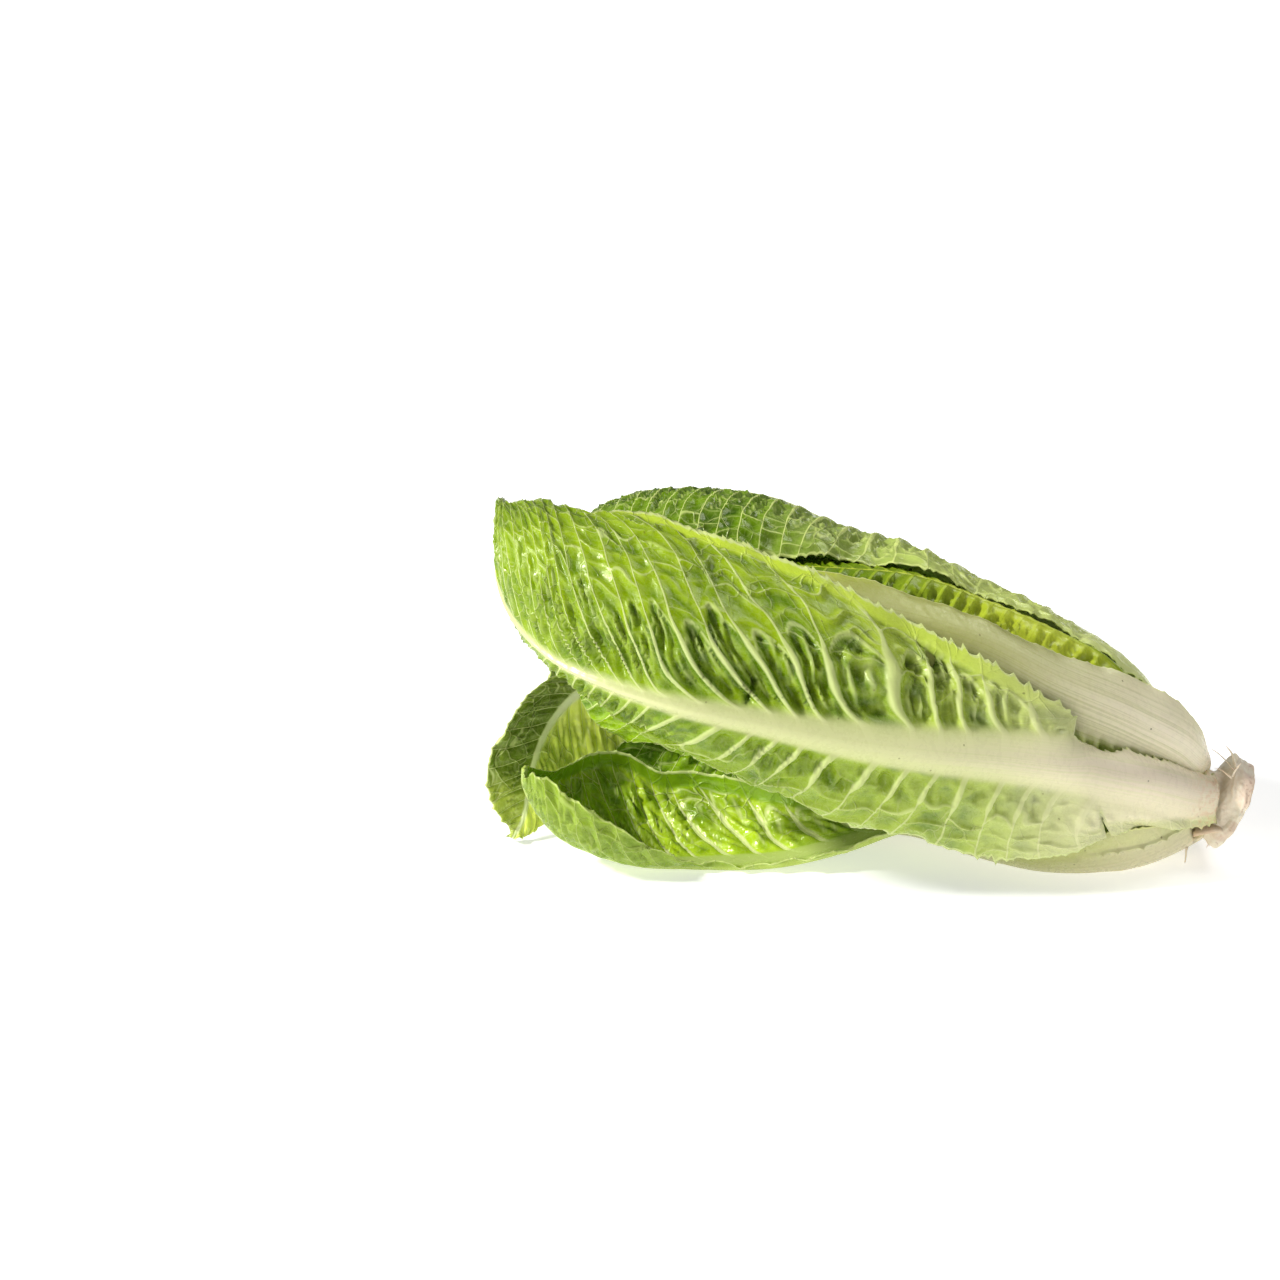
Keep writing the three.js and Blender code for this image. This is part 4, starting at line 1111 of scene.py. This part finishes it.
for root, tip, thickness, blunt, dried in TORN_STRIPS:
    root, tip = Vector(root), Vector(tip)
    way = tip - root
    lay = Matrix.Translation((root + tip) / 2) @ way.to_track_quat("Z", "Y").to_matrix().to_4x4()
    bmesh.ops.create_cone(
        bm, cap_ends=True, segments=12, radius1=thickness, radius2=blunt, depth=way.length,
        matrix=lay @ Matrix.Diagonal((1, STRIP_FLAT, 1, 1)),
    )
    sides = [e for e in bm.edges if e.calc_length() > way.length * 0.8]
    bmesh.ops.subdivide_edges(bm, edges=sides, cuts=7)
    for vert in [v for v in bm.verts if not v[placed]]:
        along = (vert.co - root).dot(way) / way.length_squared
        sag = math.sin(math.pi * along) * way.length * 0.09
        wobble = 0.12 * thickness * math.sin(9 * along + 3 * thickness)
        vert.co += Vector((wobble, wobble, sag))
        vert.co = (vert.co - Vector(MIDDLE)) * MM
        vert[dryness] = dried * (0.4 + 0.6 * along)
        vert[rim] = 0.3 * along
        vert[placed] = 1
stem_mesh = bpy.data.meshes.new("stem_core")
bm.to_mesh(stem_mesh)
bm.free()
stem_mesh.shade_smooth()
stem = bpy.data.objects.new("stem_core", stem_mesh)
bpy.context.collection.objects.link(stem)

stem_finish = bpy.data.materials.new("cut stem")
stem_finish.use_nodes = True
mix = Paint(stem_finish.node_tree)
spot = mix.put("ShaderNodeTexCoord").outputs["Object"]
blotch = mix.noise(spot, 160, 4.0, dimensions="3D")[0]
fine = mix.noise(spot, 900, 4.0, dimensions="3D")[0]
edge = mix.mark("rim")
pink = mix.times(edge, mix.fit(blotch, 0.42, 0.6, 0.0, 0.7))
brown = mix.fit(mix.times(edge, fine), 0.52, 0.64, 0.0, 0.5)
colour = mix.blend(mix.fit(blotch, 0.4, 0.62), srgb(234, 224, 200), srgb(224, 208, 182))
colour = mix.blend(mix.fit(fine, 0.4, 0.7, 0.0, 0.5), colour, srgb(240, 234, 214))
colour = mix.blend(pink, colour, srgb(226, 200, 178))
colour = mix.blend(brown, colour, srgb(176, 134, 104))
colour = mix.blend(mix.mark("dryness"), colour, srgb(208, 160, 104))
pitted = mix.put("ShaderNodeBump", {"Height": fine, "Distance": 0.0005, "Strength": 0.6})
for title, feed in {
    "Base Color": colour,
    "Roughness": 0.5,
    "Subsurface Weight": 0.1,
    "Subsurface Radius": (1.0, 0.8, 0.5),
    "Subsurface Scale": 0.003,
    "Normal": pitted.outputs[0],
}.items():
    mix.feed(stem_finish.node_tree.nodes["Principled BSDF"].inputs[title], feed)
dress(stem, stem_finish, "stem")

# ---------------------------------------------------------------------------
# Table, light and camera. A sheet of matt white paper lies under and behind the
# head, with one key lamp high on the left and two weak soft boxes.
# ---------------------------------------------------------------------------
PAPER_SIZE = 8
CAMERA_AT = (-0.0768, -1.0785, 0.5101)
CAMERA_PITCH = math.radians(68)
LAMP_AIM = Vector((0, 0, 0.05))

bpy.ops.mesh.primitive_plane_add(size=PAPER_SIZE, location=(0, 0, 0))
floor = bpy.context.object
floor.name = "floor"
paper = bpy.data.materials.new("white paper")
paper.use_nodes = True
paper_look = paper.node_tree.nodes["Principled BSDF"].inputs
paper_look["Base Color"].default_value = (0.92, 0.92, 0.92, 1)
paper_look["Roughness"].default_value = 0.9
paper_look["Emission Color"].default_value = (1, 1, 1, 1)
paper_look["Emission Strength"].default_value = 0.5
floor.data.materials.append(paper)


def soft_box(name, place, size, power):
    """A rectangular lamp that points at the head."""
    lamp = bpy.data.lights.new(name, "AREA")
    lamp.shape = "RECTANGLE"
    lamp.size, lamp.size_y = size
    lamp.energy = power
    holder = bpy.data.objects.new(name, lamp)
    holder.location = place
    holder.rotation_euler = (LAMP_AIM - Vector(place)).to_track_quat("-Z", "Y").to_euler()
    bpy.context.collection.objects.link(holder)


soft_box("key", (-2.8, -0.75, 2.2), size=(0.4, 0.4), power=138)
soft_box("front", (-1.7, -2.2, 0.5), size=(1.0, 0.6), power=17)
soft_box("back", (1.0, 0.5, 1.7), size=(1.0, 0.8), power=14)

world = bpy.data.worlds.new("studio")
bpy.context.scene.world = world
world.use_nodes = True
sky = world.node_tree.nodes["Background"].inputs
sky["Color"].default_value = (1, 1, 1, 1)
sky["Strength"].default_value = 0.16

lens = bpy.data.cameras.new("camera")
lens.lens = 100
lens.sensor_width = 36
camera = bpy.data.objects.new("camera", lens)
camera.location = CAMERA_AT
camera.rotation_euler = (CAMERA_PITCH, 0, 0)
bpy.context.collection.objects.link(camera)
bpy.context.scene.camera = camera
bpy.context.scene.view_settings.view_transform = "Standard"
